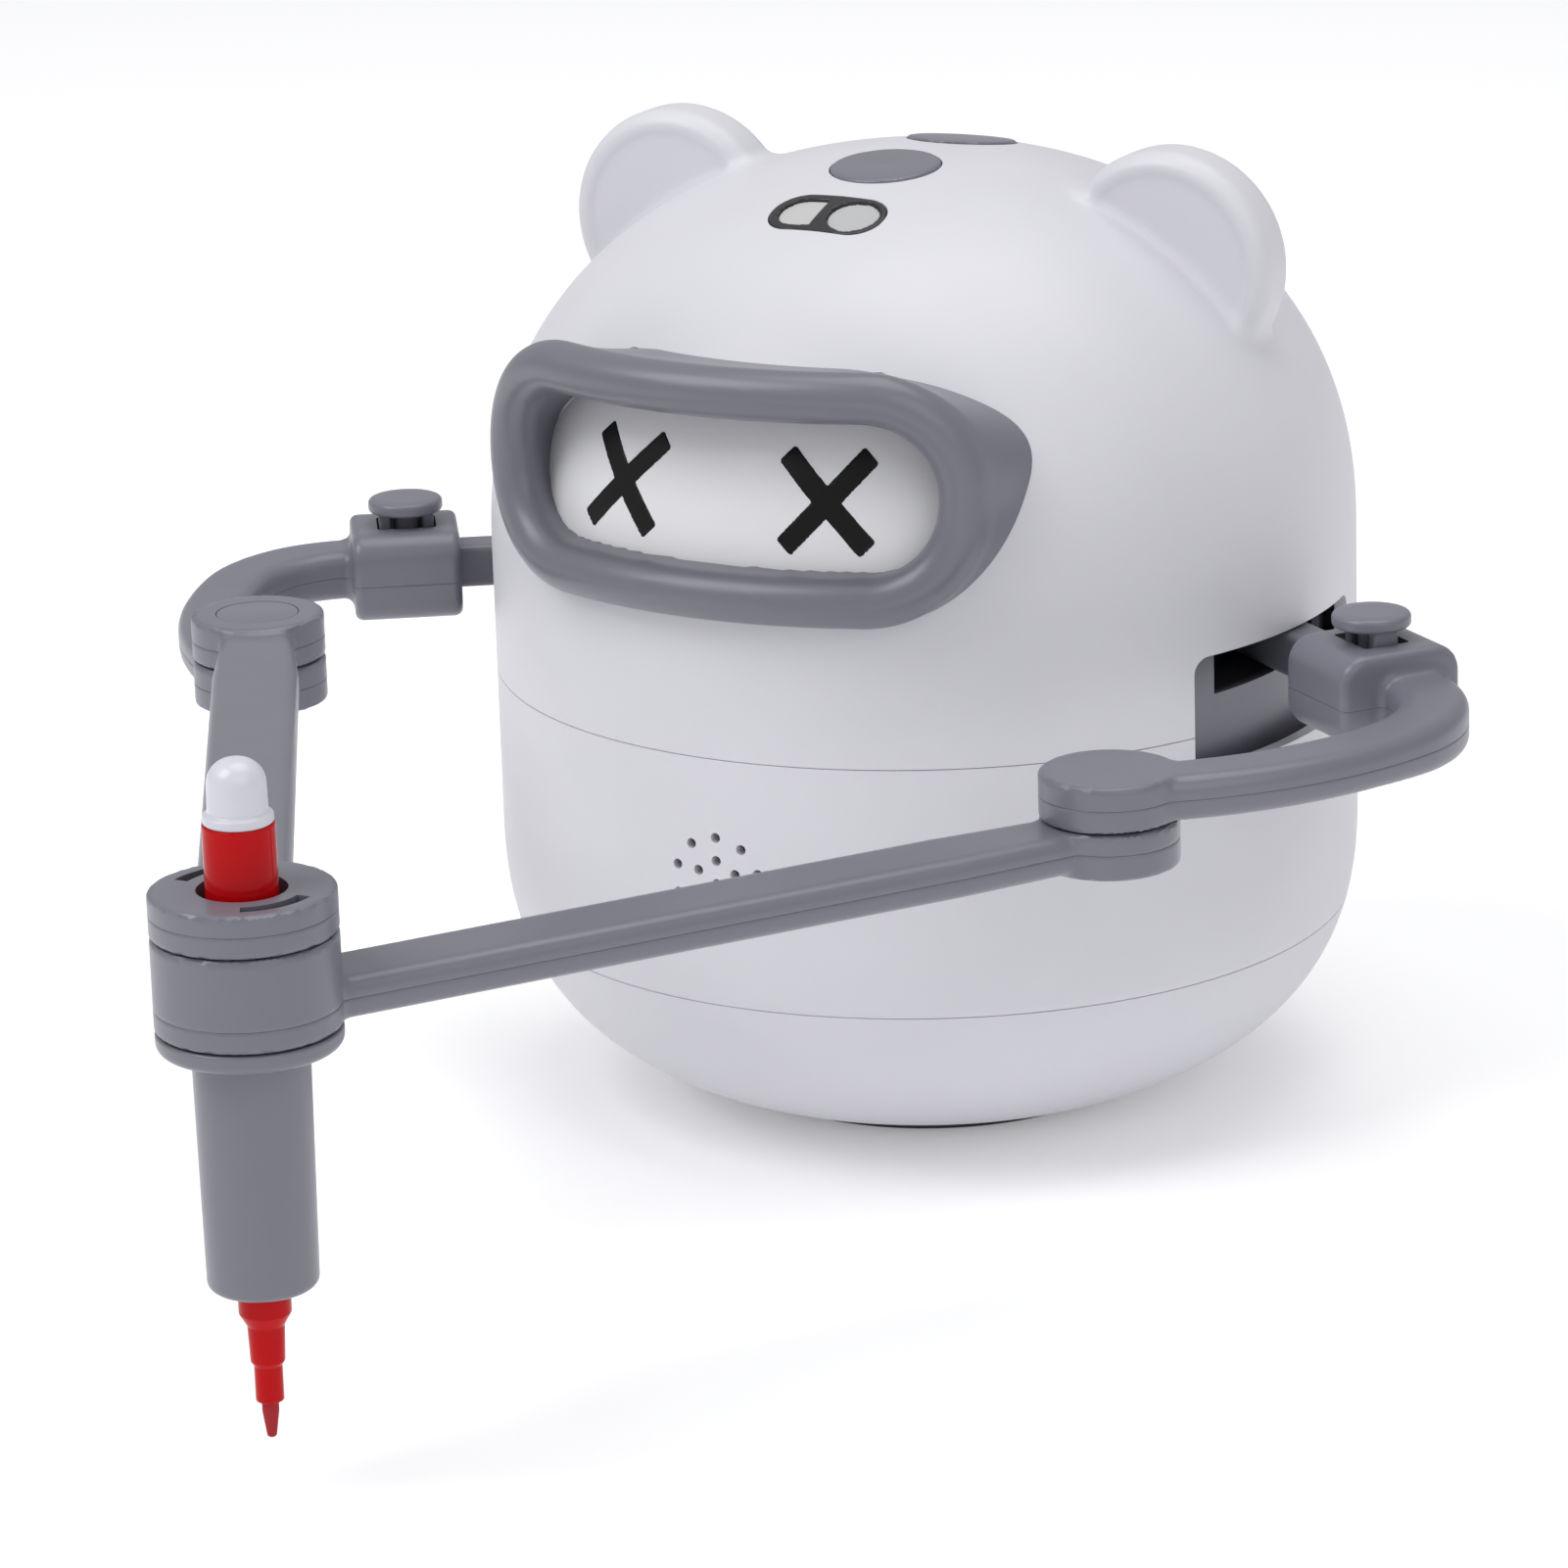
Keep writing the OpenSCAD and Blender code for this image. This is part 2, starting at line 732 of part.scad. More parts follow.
// An arm whose elbow bore starts at pin_low_z
module whole_arm(pin_low_z) {
    difference() {
        union() {
            arm_bar();
            along_stub() translate([sleeve_start, 0, 0]) rotate([90, 0, 90])
                linear_extrude(sleeve_end - sleeve_start)
                    rounded_outline(sleeve_w, sleeve_h, sleeve_corner_r);
        }
        along_stub() {
            translate([sleeve_start - 1, 0, 0]) rotate([90, 0, 90])
                linear_extrude(button_reach + 6.6 - sleeve_start + 1)
                    rounded_outline(stub_w + sleeve_slack, stub_w + sleeve_slack, 1.2);
            translate([button_reach - button_well[0] / 2, -button_well[1] / 2, 0]) cube(button_well);
        }
        translate([elbow_x, -elbow_y, pin_low_z]) cylinder(r = pin_r + running_fit, h = arm_h);
    }
}

parting_gap = 0.1;

// Everything above or below a height, for parts moulded in two halves
module above(z) translate([-200, -400, z]) cube([400, 600, 200]);
module below(z) translate([-200, -400, z - 200]) cube([400, 600, 200]);

module arm_top(pin_low_z) color(grey) intersection() {
    whole_arm(pin_low_z);
    above(arm_z + parting_gap / 2);
}
module arm_bottom(pin_low_z) color(grey) intersection() {
    whole_arm(pin_low_z);
    below(arm_z - parting_gap / 2);
}
module left_arm_top() arm_top(arm_low_z - pin_skin);
module right_arm_top() mirror([1, 0, 0]) arm_top(arm_low_z + pin_skin);
module left_arm_bottom() arm_bottom(arm_low_z - pin_skin);
module right_arm_bottom() mirror([1, 0, 0]) arm_bottom(arm_low_z + pin_skin);

release_travel = 2;
release_cap_z = 103.4;
release_cap_r = 7;
release_cap_h = 2.6;
release_bevel = 0.8;
prong_h = release_cap_z - stub_z - stub_w / 2 - release_travel;

module release_button() color(grey) {
    along_stub() translate([button_reach, 0, -stub_z]) {
        translate([0, 0, release_cap_z]) cylinder(r = release_cap_r, h = release_cap_h - release_bevel);
        translate([0, 0, release_cap_z + release_cap_h - release_bevel])
            cylinder(r1 = release_cap_r, r2 = release_cap_r - 1.2, h = release_bevel);
        translate([0, 0, stub_z + 2.6]) cylinder(r = 2.6, h = release_cap_z - stub_z - 2);
        for (x = [-3.9, 2.4]) translate([x, -3, stub_z + stub_w / 2 + release_travel + 0.5])
            cube([1.5, 6, prong_h]);
    }
}
module left_release_button() release_button();
module right_release_button() mirror([1, 0, 0]) release_button();

// ---- Links and elbows ----------------------------------------------------

link_length = norm([elbow_x, pen_y - elbow_y]);
link_heading = atan2(pen_y - elbow_y, elbow_x);

// Runs along a link from the elbow at +X, with x as the distance out
module along_link(z) {
    translate([elbow_x, -elbow_y, z]) rotate([0, 0, 180 + link_heading]) children();
}

module link_bar(z, low, high) {
    along_link(z) {
        cylinder(r = elbow_r, h = disc_h);
        translate([0, -link_w / 2, low]) cube([link_length, link_w, high - low]);
    }
}

// A hole through the link's elbow disc, with a seat for the cap
module elbow_bore(z, seat_z) {
    translate([elbow_x, -elbow_y, z - 1]) cylinder(r = pin_r + running_fit, h = disc_h + 2);
    translate([elbow_x, -elbow_y, seat_z]) cylinder(r = pin_cap_r + running_fit, h = pin_cap_h + 1);
}

// The left link lies under its arm and ends in the drum of the holder
module left_link() difference() {
    union() {
        link_bar(lower_link_z, disc_h - 0.2 - bar_h, disc_h - 0.2);
        translate([0, -pen_y, drum_low_z]) cylinder(r = holder_r, h = arm_top_z - drum_low_z);
    }
    elbow_bore(lower_link_z, lower_link_z + cap_gap - 1);
    translate([0, -pen_y, drum_low_z - 2]) cylinder(r = drum_bore_r, h = 30);
}

// The right link lies on its arm and ends in the top ring of the holder
module right_link() difference() {
    union() {
        mirror([1, 0, 0]) link_bar(upper_link_z, 0, ring_h);
        translate([0, -pen_y, upper_link_z]) cylinder(r = holder_r, h = ring_h);
    }
    mirror([1, 0, 0]) elbow_bore(upper_link_z, upper_link_z + disc_h - pin_cap_h - cap_gap);
    translate([0, -pen_y, upper_link_z - 1]) cylinder(r = ring_hole_r, h = 20);
    translate([0, -pen_y, upper_link_z - 1]) cylinder(r = neck_r + running_fit, h = 1 + ring_socket);
    for (a = [0, 180]) ring_slot(a + ring_slot_start);
}

ring_socket = 1.8;
ring_slot_r = 11.2;
ring_slot_w = 2.4;
ring_slot_start = -58;
ring_slot_turn = 62;

// A curved slot through the holder ring
module ring_slot(a) {
    translate([0, -pen_y, upper_link_z - 1]) linear_extrude(20)
        ring_sector([0, 0], ring_slot_r, ring_slot_w, a, a + ring_slot_turn);
}

left_parting_z = 83.8;
right_parting_z = upper_link_z + 3.6;

module left_link_top() color(grey) intersection() {
    left_link();
    above(left_parting_z + parting_gap / 2);
}
module left_link_bottom() color(grey) intersection() {
    left_link();
    below(left_parting_z - parting_gap / 2);
}
module right_link_top() color(grey) intersection() {
    right_link();
    above(right_parting_z + parting_gap / 2);
}
module right_link_bottom() color(grey) intersection() {
    right_link();
    below(right_parting_z - parting_gap / 2);
}

// Pins stand in the arms, and their caps close the links' discs
module left_elbow_pin() color(steel) translate([elbow_x, -elbow_y, lower_link_z + pin_cap_h + 0.2])
    cylinder(r = pin_r, h = arm_top_z - pin_skin - 0.3 - lower_link_z - pin_cap_h);
module right_elbow_pin() color(steel) translate([-elbow_x, -elbow_y, arm_low_z + pin_skin + 0.1])
    cylinder(r = pin_r, h = upper_link_z + disc_h - pin_cap_h - arm_low_z - pin_skin - 0.3);
module left_elbow_cap() color(grey) translate([elbow_x, -elbow_y, lower_link_z])
    cylinder(r = pin_cap_r, h = pin_cap_h);
module right_elbow_cap() color(grey) translate([-elbow_x, -elbow_y, upper_link_z + disc_h - pin_cap_h])
    cylinder(r = pin_cap_r, h = pin_cap_h);

// ---- Holder and marker ---------------------------------------------------

module holder_tube() color(grey) translate([0, -pen_y, 0]) difference() {
    union() {
        translate([0, 0, tube_low_z])
            cylinder(r1 = tube_r - tube_draft, r2 = tube_r, h = flange_low_z - tube_low_z);
        translate([0, 0, flange_low_z]) cylinder(r = holder_r, h = flange_h);
        translate([0, 0, flange_low_z])
            cylinder(r = neck_r, h = upper_link_z + ring_socket - 0.1 - flange_low_z);
    }
    translate([0, 0, tube_low_z + tube_floor]) cylinder(r = pen_bore_r, h = 100);
    translate([0, 0, tube_low_z - 1]) cylinder(r = nose_hole_r, h = 10);
}

shoulder_z = tube_low_z + tube_floor + 0.1;
barrel_top_z = 113.9;
barrel_wall = 1.1;
nib_r = 1.4;
nib_bore_r = 1.45;

// Barrel and nose are one moulding, hollow from the top for the reservoir
module marker_barrel() color(red) translate([0, -pen_y, 0]) difference() {
    rotate_extrude() polygon([
        [0, pen_tip_z + 6.4], [2.35, pen_tip_z + 6.4], [2.35, pen_tip_z + 12.6],
        [2.8, pen_tip_z + 13.4], [3.1, pen_tip_z + 19.6], [4.35, pen_tip_z + 21.8],
        [4.35, shoulder_z], [pen_r, shoulder_z], [pen_r, barrel_top_z], [0, barrel_top_z]
    ]);
    translate([0, 0, shoulder_z + 2]) cylinder(r = pen_r - barrel_wall, h = 100);
    cylinder(r = nib_bore_r, h = 60, $fn = 36);
    translate([-4, -3, pen_tip_z + 9]) cube([2.4, 2.2, 2.6]);
}

plug_r = 4.75;
plug_rim_r = 5.7;

module marker_plug() color("#f0f0f4") translate([0, -pen_y, barrel_top_z + 0.05]) {
    cylinder(r = plug_rim_r, h = 1.5);
    cylinder(r = plug_r, h = pen_top_z - barrel_top_z - plug_r);
    translate([0, 0, pen_top_z - barrel_top_z - plug_r - 0.05]) intersection() {
        sphere(r = plug_r);
        cylinder(r = 2 * plug_r, h = plug_r);
    }
}

module marker_reservoir() color("#b9483f") translate([0, -pen_y, shoulder_z + 2.2])
    cylinder(r = pen_r - barrel_wall - 0.15, h = barrel_top_z - shoulder_z - 3);

module marker_nib() color("#5c0c12") translate([0, -pen_y, pen_tip_z]) rotate_extrude($fn = 36) polygon([
    [0, 0], [0.5, 0.15], [0.9, 1.4], [nib_r, 5.4], [nib_r, 28], [0, 28]
]);

// ---- Assembly ------------------------------------------------------------

base_pad();
base_shell();
base_screws();
body_shell();
head_shell();
goggle_frame();
face_plate();
eye_marks();
front_button();
rear_button();
button_board();
scanner_bezel();
scanner_lens();
scanner_lamp_window();
scanner_board();
speaker();
speaker_bracket();
chassis_deck();
battery_pack();
main_board();
power_switch();
charging_socket();
guide_rods();
rod_bracket();
lift_motor();
lift_pinion();
carriage_frame();
left_shoulder_motor();
right_shoulder_motor();
left_shield();
right_shield();
left_stub();
right_stub();
left_arm_top();
right_arm_top();
left_arm_bottom();
right_arm_bottom();
left_release_button();
right_release_button();
left_elbow_pin();
right_elbow_pin();
left_link_top();
left_link_bottom();
right_link_top();
right_link_bottom();
left_elbow_cap();
right_elbow_cap();
holder_tube();
marker_barrel();
marker_plug();
marker_reservoir();
marker_nib();
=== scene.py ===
"""Looks of the desktop drawing robot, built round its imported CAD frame.

Shapes are worked out in millimetres in the CAD's frame, and turned to metres as each mesh is made.
Moulded pieces with blended corners come from a field: a function of x, y, z that is below 0 inside.
Round pieces come from a profile of (radius, height) corners. The robot faces -Y, its left is +X.
"""

import json
import math

import bmesh
import bpy
import numpy as np
from mathutils import Matrix, Vector


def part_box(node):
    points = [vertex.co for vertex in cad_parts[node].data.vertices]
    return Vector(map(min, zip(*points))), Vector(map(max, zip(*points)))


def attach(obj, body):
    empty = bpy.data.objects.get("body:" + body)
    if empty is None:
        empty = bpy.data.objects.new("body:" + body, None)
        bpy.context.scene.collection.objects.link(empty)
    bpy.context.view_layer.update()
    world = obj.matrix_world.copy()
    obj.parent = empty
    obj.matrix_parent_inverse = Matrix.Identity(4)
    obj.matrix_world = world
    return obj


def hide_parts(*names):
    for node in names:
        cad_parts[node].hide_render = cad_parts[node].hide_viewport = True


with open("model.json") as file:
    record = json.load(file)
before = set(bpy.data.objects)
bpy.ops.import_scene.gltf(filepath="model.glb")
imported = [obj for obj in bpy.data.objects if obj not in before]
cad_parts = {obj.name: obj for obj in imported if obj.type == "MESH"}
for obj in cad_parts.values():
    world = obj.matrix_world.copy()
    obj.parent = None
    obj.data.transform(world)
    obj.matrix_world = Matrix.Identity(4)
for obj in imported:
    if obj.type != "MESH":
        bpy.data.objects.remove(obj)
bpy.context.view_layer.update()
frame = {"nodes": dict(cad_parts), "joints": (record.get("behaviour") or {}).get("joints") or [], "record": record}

MM = 0.001


def box_mm(node):
    """Lowest and highest corners of a CAD node, in millimetres."""
    low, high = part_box(node)
    return np.array(low) / MM, np.array(high) / MM


def joint_mm(name):
    """Where a joint is at rest, in millimetres."""
    found = next(j for j in frame["joints"] if j["name"] == name)
    return np.array(found["pos_m"]) / MM


# ---- Sizes, from the frame and a few of the shapes' own -------------------

SHELL_R = box_mm("body_shell")[1][0]
PAD_H = box_mm("base_pad")[1][2]
LOW_SEAM = (box_mm("base_shell")[1][2] + box_mm("body_shell")[0][2]) / 2
HIGH_SEAM = (box_mm("body_shell")[1][2] + box_mm("head_shell")[0][2]) / 2
SEAM_GAP = 0.1
SEAM_EASE = 0.12
PARTING_GAP, PARTING_LIP = 0.05, 0.08
WALL = 2.4
CROWN_Z = 176.7
BOWL_Z, BOWL_DEPTH, BOWL_POWER = 54.5, 56.0, 2.6
DOME_Z, DOME_POWER = 106.5, 2.2

SHOULDER = joint_mm("left_shoulder")
ELBOW = joint_mm("left_elbow")
PEN = joint_mm("marker_slide")
ARM_Z = SHOULDER[2]
ARM_H = 8.0
ARM_LOW = ARM_Z - ARM_H / 2
ARM_TOP = ARM_Z + ARM_H / 2
ARM_W = 12.6
ARM_DEEPER, ARM_DEEPER_FROM = 0.8, 48.0
STUB_SLANT = math.radians(34.6)
STUB_W = 8.2
HUB_R, HUB_H = 8.0, 9.6
STUB_Z = ARM_Z + 0.9
BUTTON_REACH = 73.9
SLEEVE = (BUTTON_REACH - 9.8, BUTTON_REACH + 10.6)
SLEEVE_W, SLEEVE_H, SLEEVE_R = 24.0, 16.8, 5.0
BEND_START, BEND_OFFSET = 83.9, 2.4
BEND_R, SWEEP_R = 24.7, 73.1
BEND_END = math.radians(-14)
ELBOW_R = 12.0
CAP_R, CAP_T = 7.4, 1.6

LINK_W = 15.2
LINK_TAPER = 1.0
LINK_LENGTH = math.hypot(ELBOW[0], ELBOW[1] - PEN[1])
LEFT_DISC = box_mm("left_elbow_cap")[0][2]
RIGHT_DISC = box_mm("right_link_bottom")[0][2]
DISC_H = 8.0
BAR_H = 7.0
RING_TOP = box_mm("right_link_top")[1][2] - (DISC_H - 7.1)
DRUM_LOW = box_mm("left_link_bottom")[0][2] + 0.8
HOLDER_R = 15.2

# ---- Fields: shapes as signed distances -----------------------------------


def eased(share):
    """A share held between 0 and 1, that leaves 0 and reaches 1 gently."""
    share = np.clip(share, 0, 1)
    return share**2 * (3 - 2 * share)


def round_and(a, b, r):
    """What is inside both shapes, with its outer edge rounded to radius r."""
    corner = np.hypot(np.maximum(a + r, 0), np.maximum(b + r, 0))
    return np.minimum(np.maximum(a, b), -r) + corner


def round_or(a, b, r):
    """What is inside either shape, with a fillet of radius r where they meet."""
    return -round_and(-a, -b, r)


def slab(z, low, high):
    """Between two levels of z."""
    return np.abs(z - (low + high) / 2) - (high - low) / 2


def rounded_rect(u, v, width, height, r):
    """A rectangle about the middle of u and v, its corners rounded."""
    a = np.abs(u) - width / 2 + r
    b = np.abs(v) - height / 2 + r
    return np.hypot(np.maximum(a, 0), np.maximum(b, 0)) + np.minimum(np.maximum(a, b), 0) - r


def shell_field(x, y, z):
    """The robot's rounded body: a bowl, a straight band and a dome."""
    rho = np.hypot(x, y) / SHELL_R
    up = np.maximum(z - DOME_Z, 0) / (CROWN_Z - DOME_Z)
    down = np.maximum(BOWL_Z - z, 0) / BOWL_DEPTH
    dome = (rho**DOME_POWER + up**DOME_POWER) ** (1 / DOME_POWER)
    bowl = (rho**BOWL_POWER + down**BOWL_POWER) ** (1 / BOWL_POWER)
    return (np.where(z > DOME_Z, dome, bowl) - 1) * SHELL_R


def skin(field, low, high, cell):
    """Points and quads of the surface where the field is 0, on a grid of that cell size."""
    axes = [np.arange(a - 1.6 * cell, b + 2.6 * cell, cell) for a, b in zip(low, high)]
    value = field(*np.meshgrid(*axes, indexing="ij"))
    inside = value < 0
    shape = tuple(n - 1 for n in value.shape)
    corners = [(i, j, k) for i in (0, 1) for j in (0, 1) for k in (0, 1)]
    parts = [inside[i:i + shape[0], j:j + shape[1], k:k + shape[2]] for i, j, k in corners]
    filled = sum(part.astype(np.int8) for part in parts)
    active = (filled > 0) & (filled < 8)
    cells = np.argwhere(active)
    points = np.array([a[0] for a in axes]) + cell * crossing_means(value, cells)
    points = settle(field, points, cell)
    return points, quads_between(inside, active, len(cells))


def crossing_means(value, cells):
    """In each cell, the mean of the places where its edges cross the surface."""
    total = np.zeros((len(cells), 3))
    hits = np.zeros(len(cells))
    for axis in range(3):
        along = np.eye(3, dtype=int)[axis]
        for u in (0, 1):
            for v in (0, 1):
                start = np.roll([0, u, v], axis)
                a = value[tuple((cells + start).T)]
                b = value[tuple((cells + start + along).T)]
                crosses = (a < 0) != (b < 0)
                share = np.where(crosses, a / np.where(crosses, a - b, 1), 0)
                place = cells + start + share[:, None] * along
                total += place * crosses[:, None]
                hits += crosses
    return total / hits[:, None]


def settle(field, points, cell, rounds=4):
    """Moves the points onto the surface, along the field's slope."""
    step = 0.02 * cell
    for _ in range(rounds):
        slope = np.stack(
            [(field(*(points + d).T) - field(*(points - d).T)) / (2 * step) for d in step * np.eye(3)], 1
        )
        move = field(*points.T) / np.maximum((slope**2).sum(1), 0.04)
        points = points - np.clip(move[:, None] * slope, -0.6 * cell, 0.6 * cell)
    return points


def quads_between(inside, active, count):
    """One quad across each grid edge that crosses the surface, facing outwards."""
    number = np.full(active.shape, -1)
    number[active] = np.arange(count)
    quads = []
    for axis in range(3):
        order = (axis, (axis + 1) % 3, (axis + 2) % 3)
        within = np.transpose(inside, order)
        cell = np.transpose(number, order)
        change = within[1:] != within[:-1]
        i, j, k = np.nonzero(change[:, 1:-1, 1:-1])
        j, k = j + 1, k + 1
        quad = np.stack([cell[i, j - 1, k - 1], cell[i, j, k - 1], cell[i, j, k], cell[i, j - 1, k]], 1)
        outwards = within[i, j, k]
        quad[~outwards] = quad[~outwards][:, ::-1]
        quads.append(quad)
    return np.concatenate(quads)


# ---- Meshes ---------------------------------------------------------------


def moulded(name, field, low, high, cell):
    """An object with the field's surface. Corners and cell are in millimetres."""
    points, quads = skin(field, low, high, cell)
    mesh = bpy.data.meshes.new(name)
    mesh.from_pydata((points * MM).tolist(), [], quads.tolist())
    return shown(name, mesh)


def shown(name, mesh):
    """An object of the mesh, in the scene."""
    obj = bpy.data.objects.new(name, mesh)
    bpy.context.scene.collection.objects.link(obj)
    return obj


def filleted(corners, steps=6):
    """Outline points from (radius, height, fillet) corners, each fillet an arc."""
    points = []
    for i, (r, z, fillet) in enumerate(corners):
        here = Vector((r, z))
        if fillet == 0:
            points.append(here)
            continue
        before = Vector(corners[i - 1][:2]) - here
        after = Vector(corners[(i + 1) % len(corners)][:2]) - here
        half = before.angle(after) / 2
        middle = here + (before.normalized() + after.normalized()).normalized() * fillet / math.sin(half)
        start = here + before.normalized() * fillet / math.tan(half) - middle
        end = here + after.normalized() * fillet / math.tan(half) - middle
        sweep = start.angle_signed(end)
        points += [middle + Matrix.Rotation(-sweep * n / steps, 2) @ start for n in range(steps + 1)]
    return points


def turned(name, outline, steps=128, x=0, y=0):
    """A solid of revolution about the upright line through x, y, from (radius, height) points."""
    bm = bmesh.new()
    ring = [bm.verts.new((p[0] * MM, 0, p[1] * MM)) for p in outline]
    edges = [bm.edges.new((a, b)) for a, b in zip(ring, ring[1:] + ring[:1]) if a.co.x + b.co.x > 1e-9]
    bmesh.ops.spin(bm, geom=ring + edges, cent=(0, 0, 0), axis=(0, 0, 1), angle=math.tau, steps=steps,
                   use_merge=True)
    bmesh.ops.remove_doubles(bm, verts=bm.verts, dist=1e-7)
    bmesh.ops.recalc_face_normals(bm, faces=bm.faces)
    bmesh.ops.translate(bm, verts=bm.verts, vec=(x * MM, y * MM, 0))
    return from_bmesh(name, bm)


def from_bmesh(name, bm):
    """An object of what was made in bm, which is freed."""
    mesh = bpy.data.meshes.new(name)
    bm.to_mesh(mesh)
    bm.free()
    return shown(name, mesh)


def rect_outline(width, height, r, steps=8):
    """Points round a rectangle with round corners, about its middle."""
    points = []
    for n, (sx, sy) in enumerate(((1, 1), (-1, 1), (-1, -1), (1, -1))):
        for i in range(steps + 1):
            a = math.pi / 2 * (n + i / steps)
            x = sx * (width / 2 - r) + r * math.cos(a)
            y = sy * (height / 2 - r) + r * math.sin(a)
            points.append((x, y))
    return points


def prism(points, depth, place):
    """A solid cutter: the outline, depth long from z = 0, then moved by the matrix place."""
    bm = bmesh.new()
    face = bm.faces.new([bm.verts.new((x, y, 0)) for x, y in points])
    top = bmesh.ops.extrude_face_region(bm, geom=[face])
    moved = [v for v in top["geom"] if isinstance(v, bmesh.types.BMVert)]
    bmesh.ops.translate(bm, verts=moved, vec=(0, 0, depth))
    bmesh.ops.recalc_face_normals(bm, faces=bm.faces)
    bmesh.ops.transform(bm, matrix=Matrix.Scale(MM, 4) @ place, verts=bm.verts)
    if place.determinant() < 0:
        bmesh.ops.reverse_faces(bm, faces=bm.faces)
    return from_bmesh("cutter", bm)


def circle_outline(r, steps=48):
    """Points round a circle, about its middle."""
    angles = [math.tau * i / steps for i in range(steps)]
    return [(r * math.cos(a), r * math.sin(a)) for a in angles]


def carve(piece, *cutters):
    """Takes the cutters out of the piece, and deletes them."""
    for cutter in cutters:
        cut = piece.modifiers.new("cut", "BOOLEAN")
        cut.operation = "DIFFERENCE"
        cut.solver = "MANIFOLD"
        cut.object = cutter
    graph = bpy.context.evaluated_depsgraph_get()
    result = bpy.data.meshes.new_from_object(piece.evaluated_get(graph))
    piece.modifiers.clear()
    piece.data = result
    for cutter in cutters:
        bpy.data.objects.remove(cutter)
    return piece


def half(piece, name, z, upper, lip=PARTING_LIP):
    """The part of a piece above or below a height, with the edge of the cut chamfered."""
    bm = bmesh.new()
    bm.from_mesh(piece.data)
    side = 1 if upper else -1
    height = (z + side * PARTING_GAP / 2) * MM
    for offset, clear in ((side * lip * MM, False), (0, True)):
        bmesh.ops.bisect_plane(
            bm, geom=bm.verts[:] + bm.edges[:] + bm.faces[:], dist=1e-8,
            plane_co=(0, 0, height + offset), plane_no=(0, 0, side), clear_inner=clear,
        )
    rim = [e for e in bm.edges if e.is_boundary]
    bm.normal_update()
    inwards = {v: v.normal.copy() for e in rim for v in e.verts}
    for v, normal in inwards.items():
        normal.z = 0
        if normal.length > 0.3:
            v.co -= normal.normalized() * lip * 0.8 * MM
    bmesh.ops.triangle_fill(bm, edges=rim, use_beauty=True, use_dissolve=False)
    bmesh.ops.recalc_face_normals(bm, faces=bm.faces)
    return from_bmesh(name, bm)


def finished(piece, material, body, nodes, sharp=40):
    """Shades a piece, gives it its material and joins it to the frame."""
    piece.data.materials.clear()
    piece.data.materials.append(material)
    piece.data.shade_smooth()
    piece.data.set_sharp_from_angle(angle=math.radians(sharp))
    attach(piece, body)
    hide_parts(*nodes)


def halves(piece, z, names, material, body):
    """Splits a moulding at its parting line into its two CAD nodes' pieces, top one first."""
    for name, upper in zip(names, (True, False)):
        finished(half(piece, name + "_moulding", z, upper), material, body, [name])
    bpy.data.objects.remove(piece)


def mirrored(field):
    """The same field on the robot's other side."""
    return lambda x, y, z: field(-x, y, z)


# ---- Materials ------------------------------------------------------------


def noise(tree, place, scale, detail):
    """A noise texture's value, laid over the object."""
    texture = tree.nodes.new("ShaderNodeTexNoise")
    texture.inputs["Scale"].default_value = scale
    texture.inputs["Detail"].default_value = detail
    tree.links.new(place, texture.inputs["Vector"])
    return texture.outputs["Fac"]


def rescaled(tree, value, from_min, from_max, to_min, to_max):
    """The value, moved from one range to another."""
    node = tree.nodes.new("ShaderNodeMapRange")
    node.inputs["From Min"].default_value = from_min
    node.inputs["From Max"].default_value = from_max
    node.inputs["To Min"].default_value = to_min
    node.inputs["To Max"].default_value = to_max
    tree.links.new(value, node.inputs["Value"])
    return node.outputs["Result"]


def shades_of(tree, colour, value):
    """The colour, a little darker or lighter from place to place."""
    ramp = tree.nodes.new("ShaderNodeValToRGB")
    for element, position, gain in zip(ramp.color_ramp.elements, (0.3, 0.7), (0.965, 1.025)):
        element.position = position
        element.color = (*[min(c * gain, 1) for c in colour], 1)
    tree.links.new(value, ramp.inputs["Fac"])
    return ramp.outputs["Color"]


def painted_edge_highlight(tree, colour, base, edge_highlight_share):
    """The base colour, a share of it painted paler along the sharpest edges as a highlight."""
    edge = tree.nodes.new("ShaderNodeNewGeometry").outputs["Pointiness"]
    mix = tree.nodes.new("ShaderNodeMix")
    mix.data_type = "RGBA"
    mix.inputs["B"].default_value = (*[min(c * 1.5 + 0.08, 1) for c in colour], 1)
    tree.links.new(rescaled(tree, edge, 0.56, 0.68, 0, edge_highlight_share), mix.inputs["Factor"])
    tree.links.new(base, mix.inputs["A"])
    return mix.outputs["Result"]


def spark_bump(tree, place, grain):
    """The fine texture that a spark-eroded mould leaves."""
    bump = tree.nodes.new("ShaderNodeBump")
    bump.inputs["Strength"].default_value = grain
    bump.inputs["Distance"].default_value = 0.0002
    tree.links.new(noise(tree, place, 2600, 2), bump.inputs["Height"])
    return bump.outputs["Normal"]


def moulded_plastic(name, colour, roughness, grain=0.03, edge_highlight_share=0.06, specular=0.5):
    """Injection-moulded plastic: fine spark texture, uneven polish, a painted highlight along the sharpest edges.
    """
    material = bpy.data.materials.new(name)
    material.use_nodes = True
    tree = material.node_tree
    shader = tree.nodes["Principled BSDF"]
    shader.inputs["Specular IOR Level"].default_value = specular
    place = tree.nodes.new("ShaderNodeTexCoord").outputs["Object"]
    shades = shades_of(tree, colour, noise(tree, place, 18, 3))
    polish = rescaled(tree, noise(tree, place, 45, 4), 0.3, 0.7, roughness * 0.9, roughness * 1.12)
    # The base colour gets a painted highlight along the sharpest edges.
    tree.links.new(painted_edge_highlight(tree, colour, shades, edge_highlight_share), shader.inputs["Base Color"])
    tree.links.new(polish, shader.inputs["Roughness"])
    tree.links.new(spark_bump(tree, place, grain), shader.inputs["Normal"])
    return material


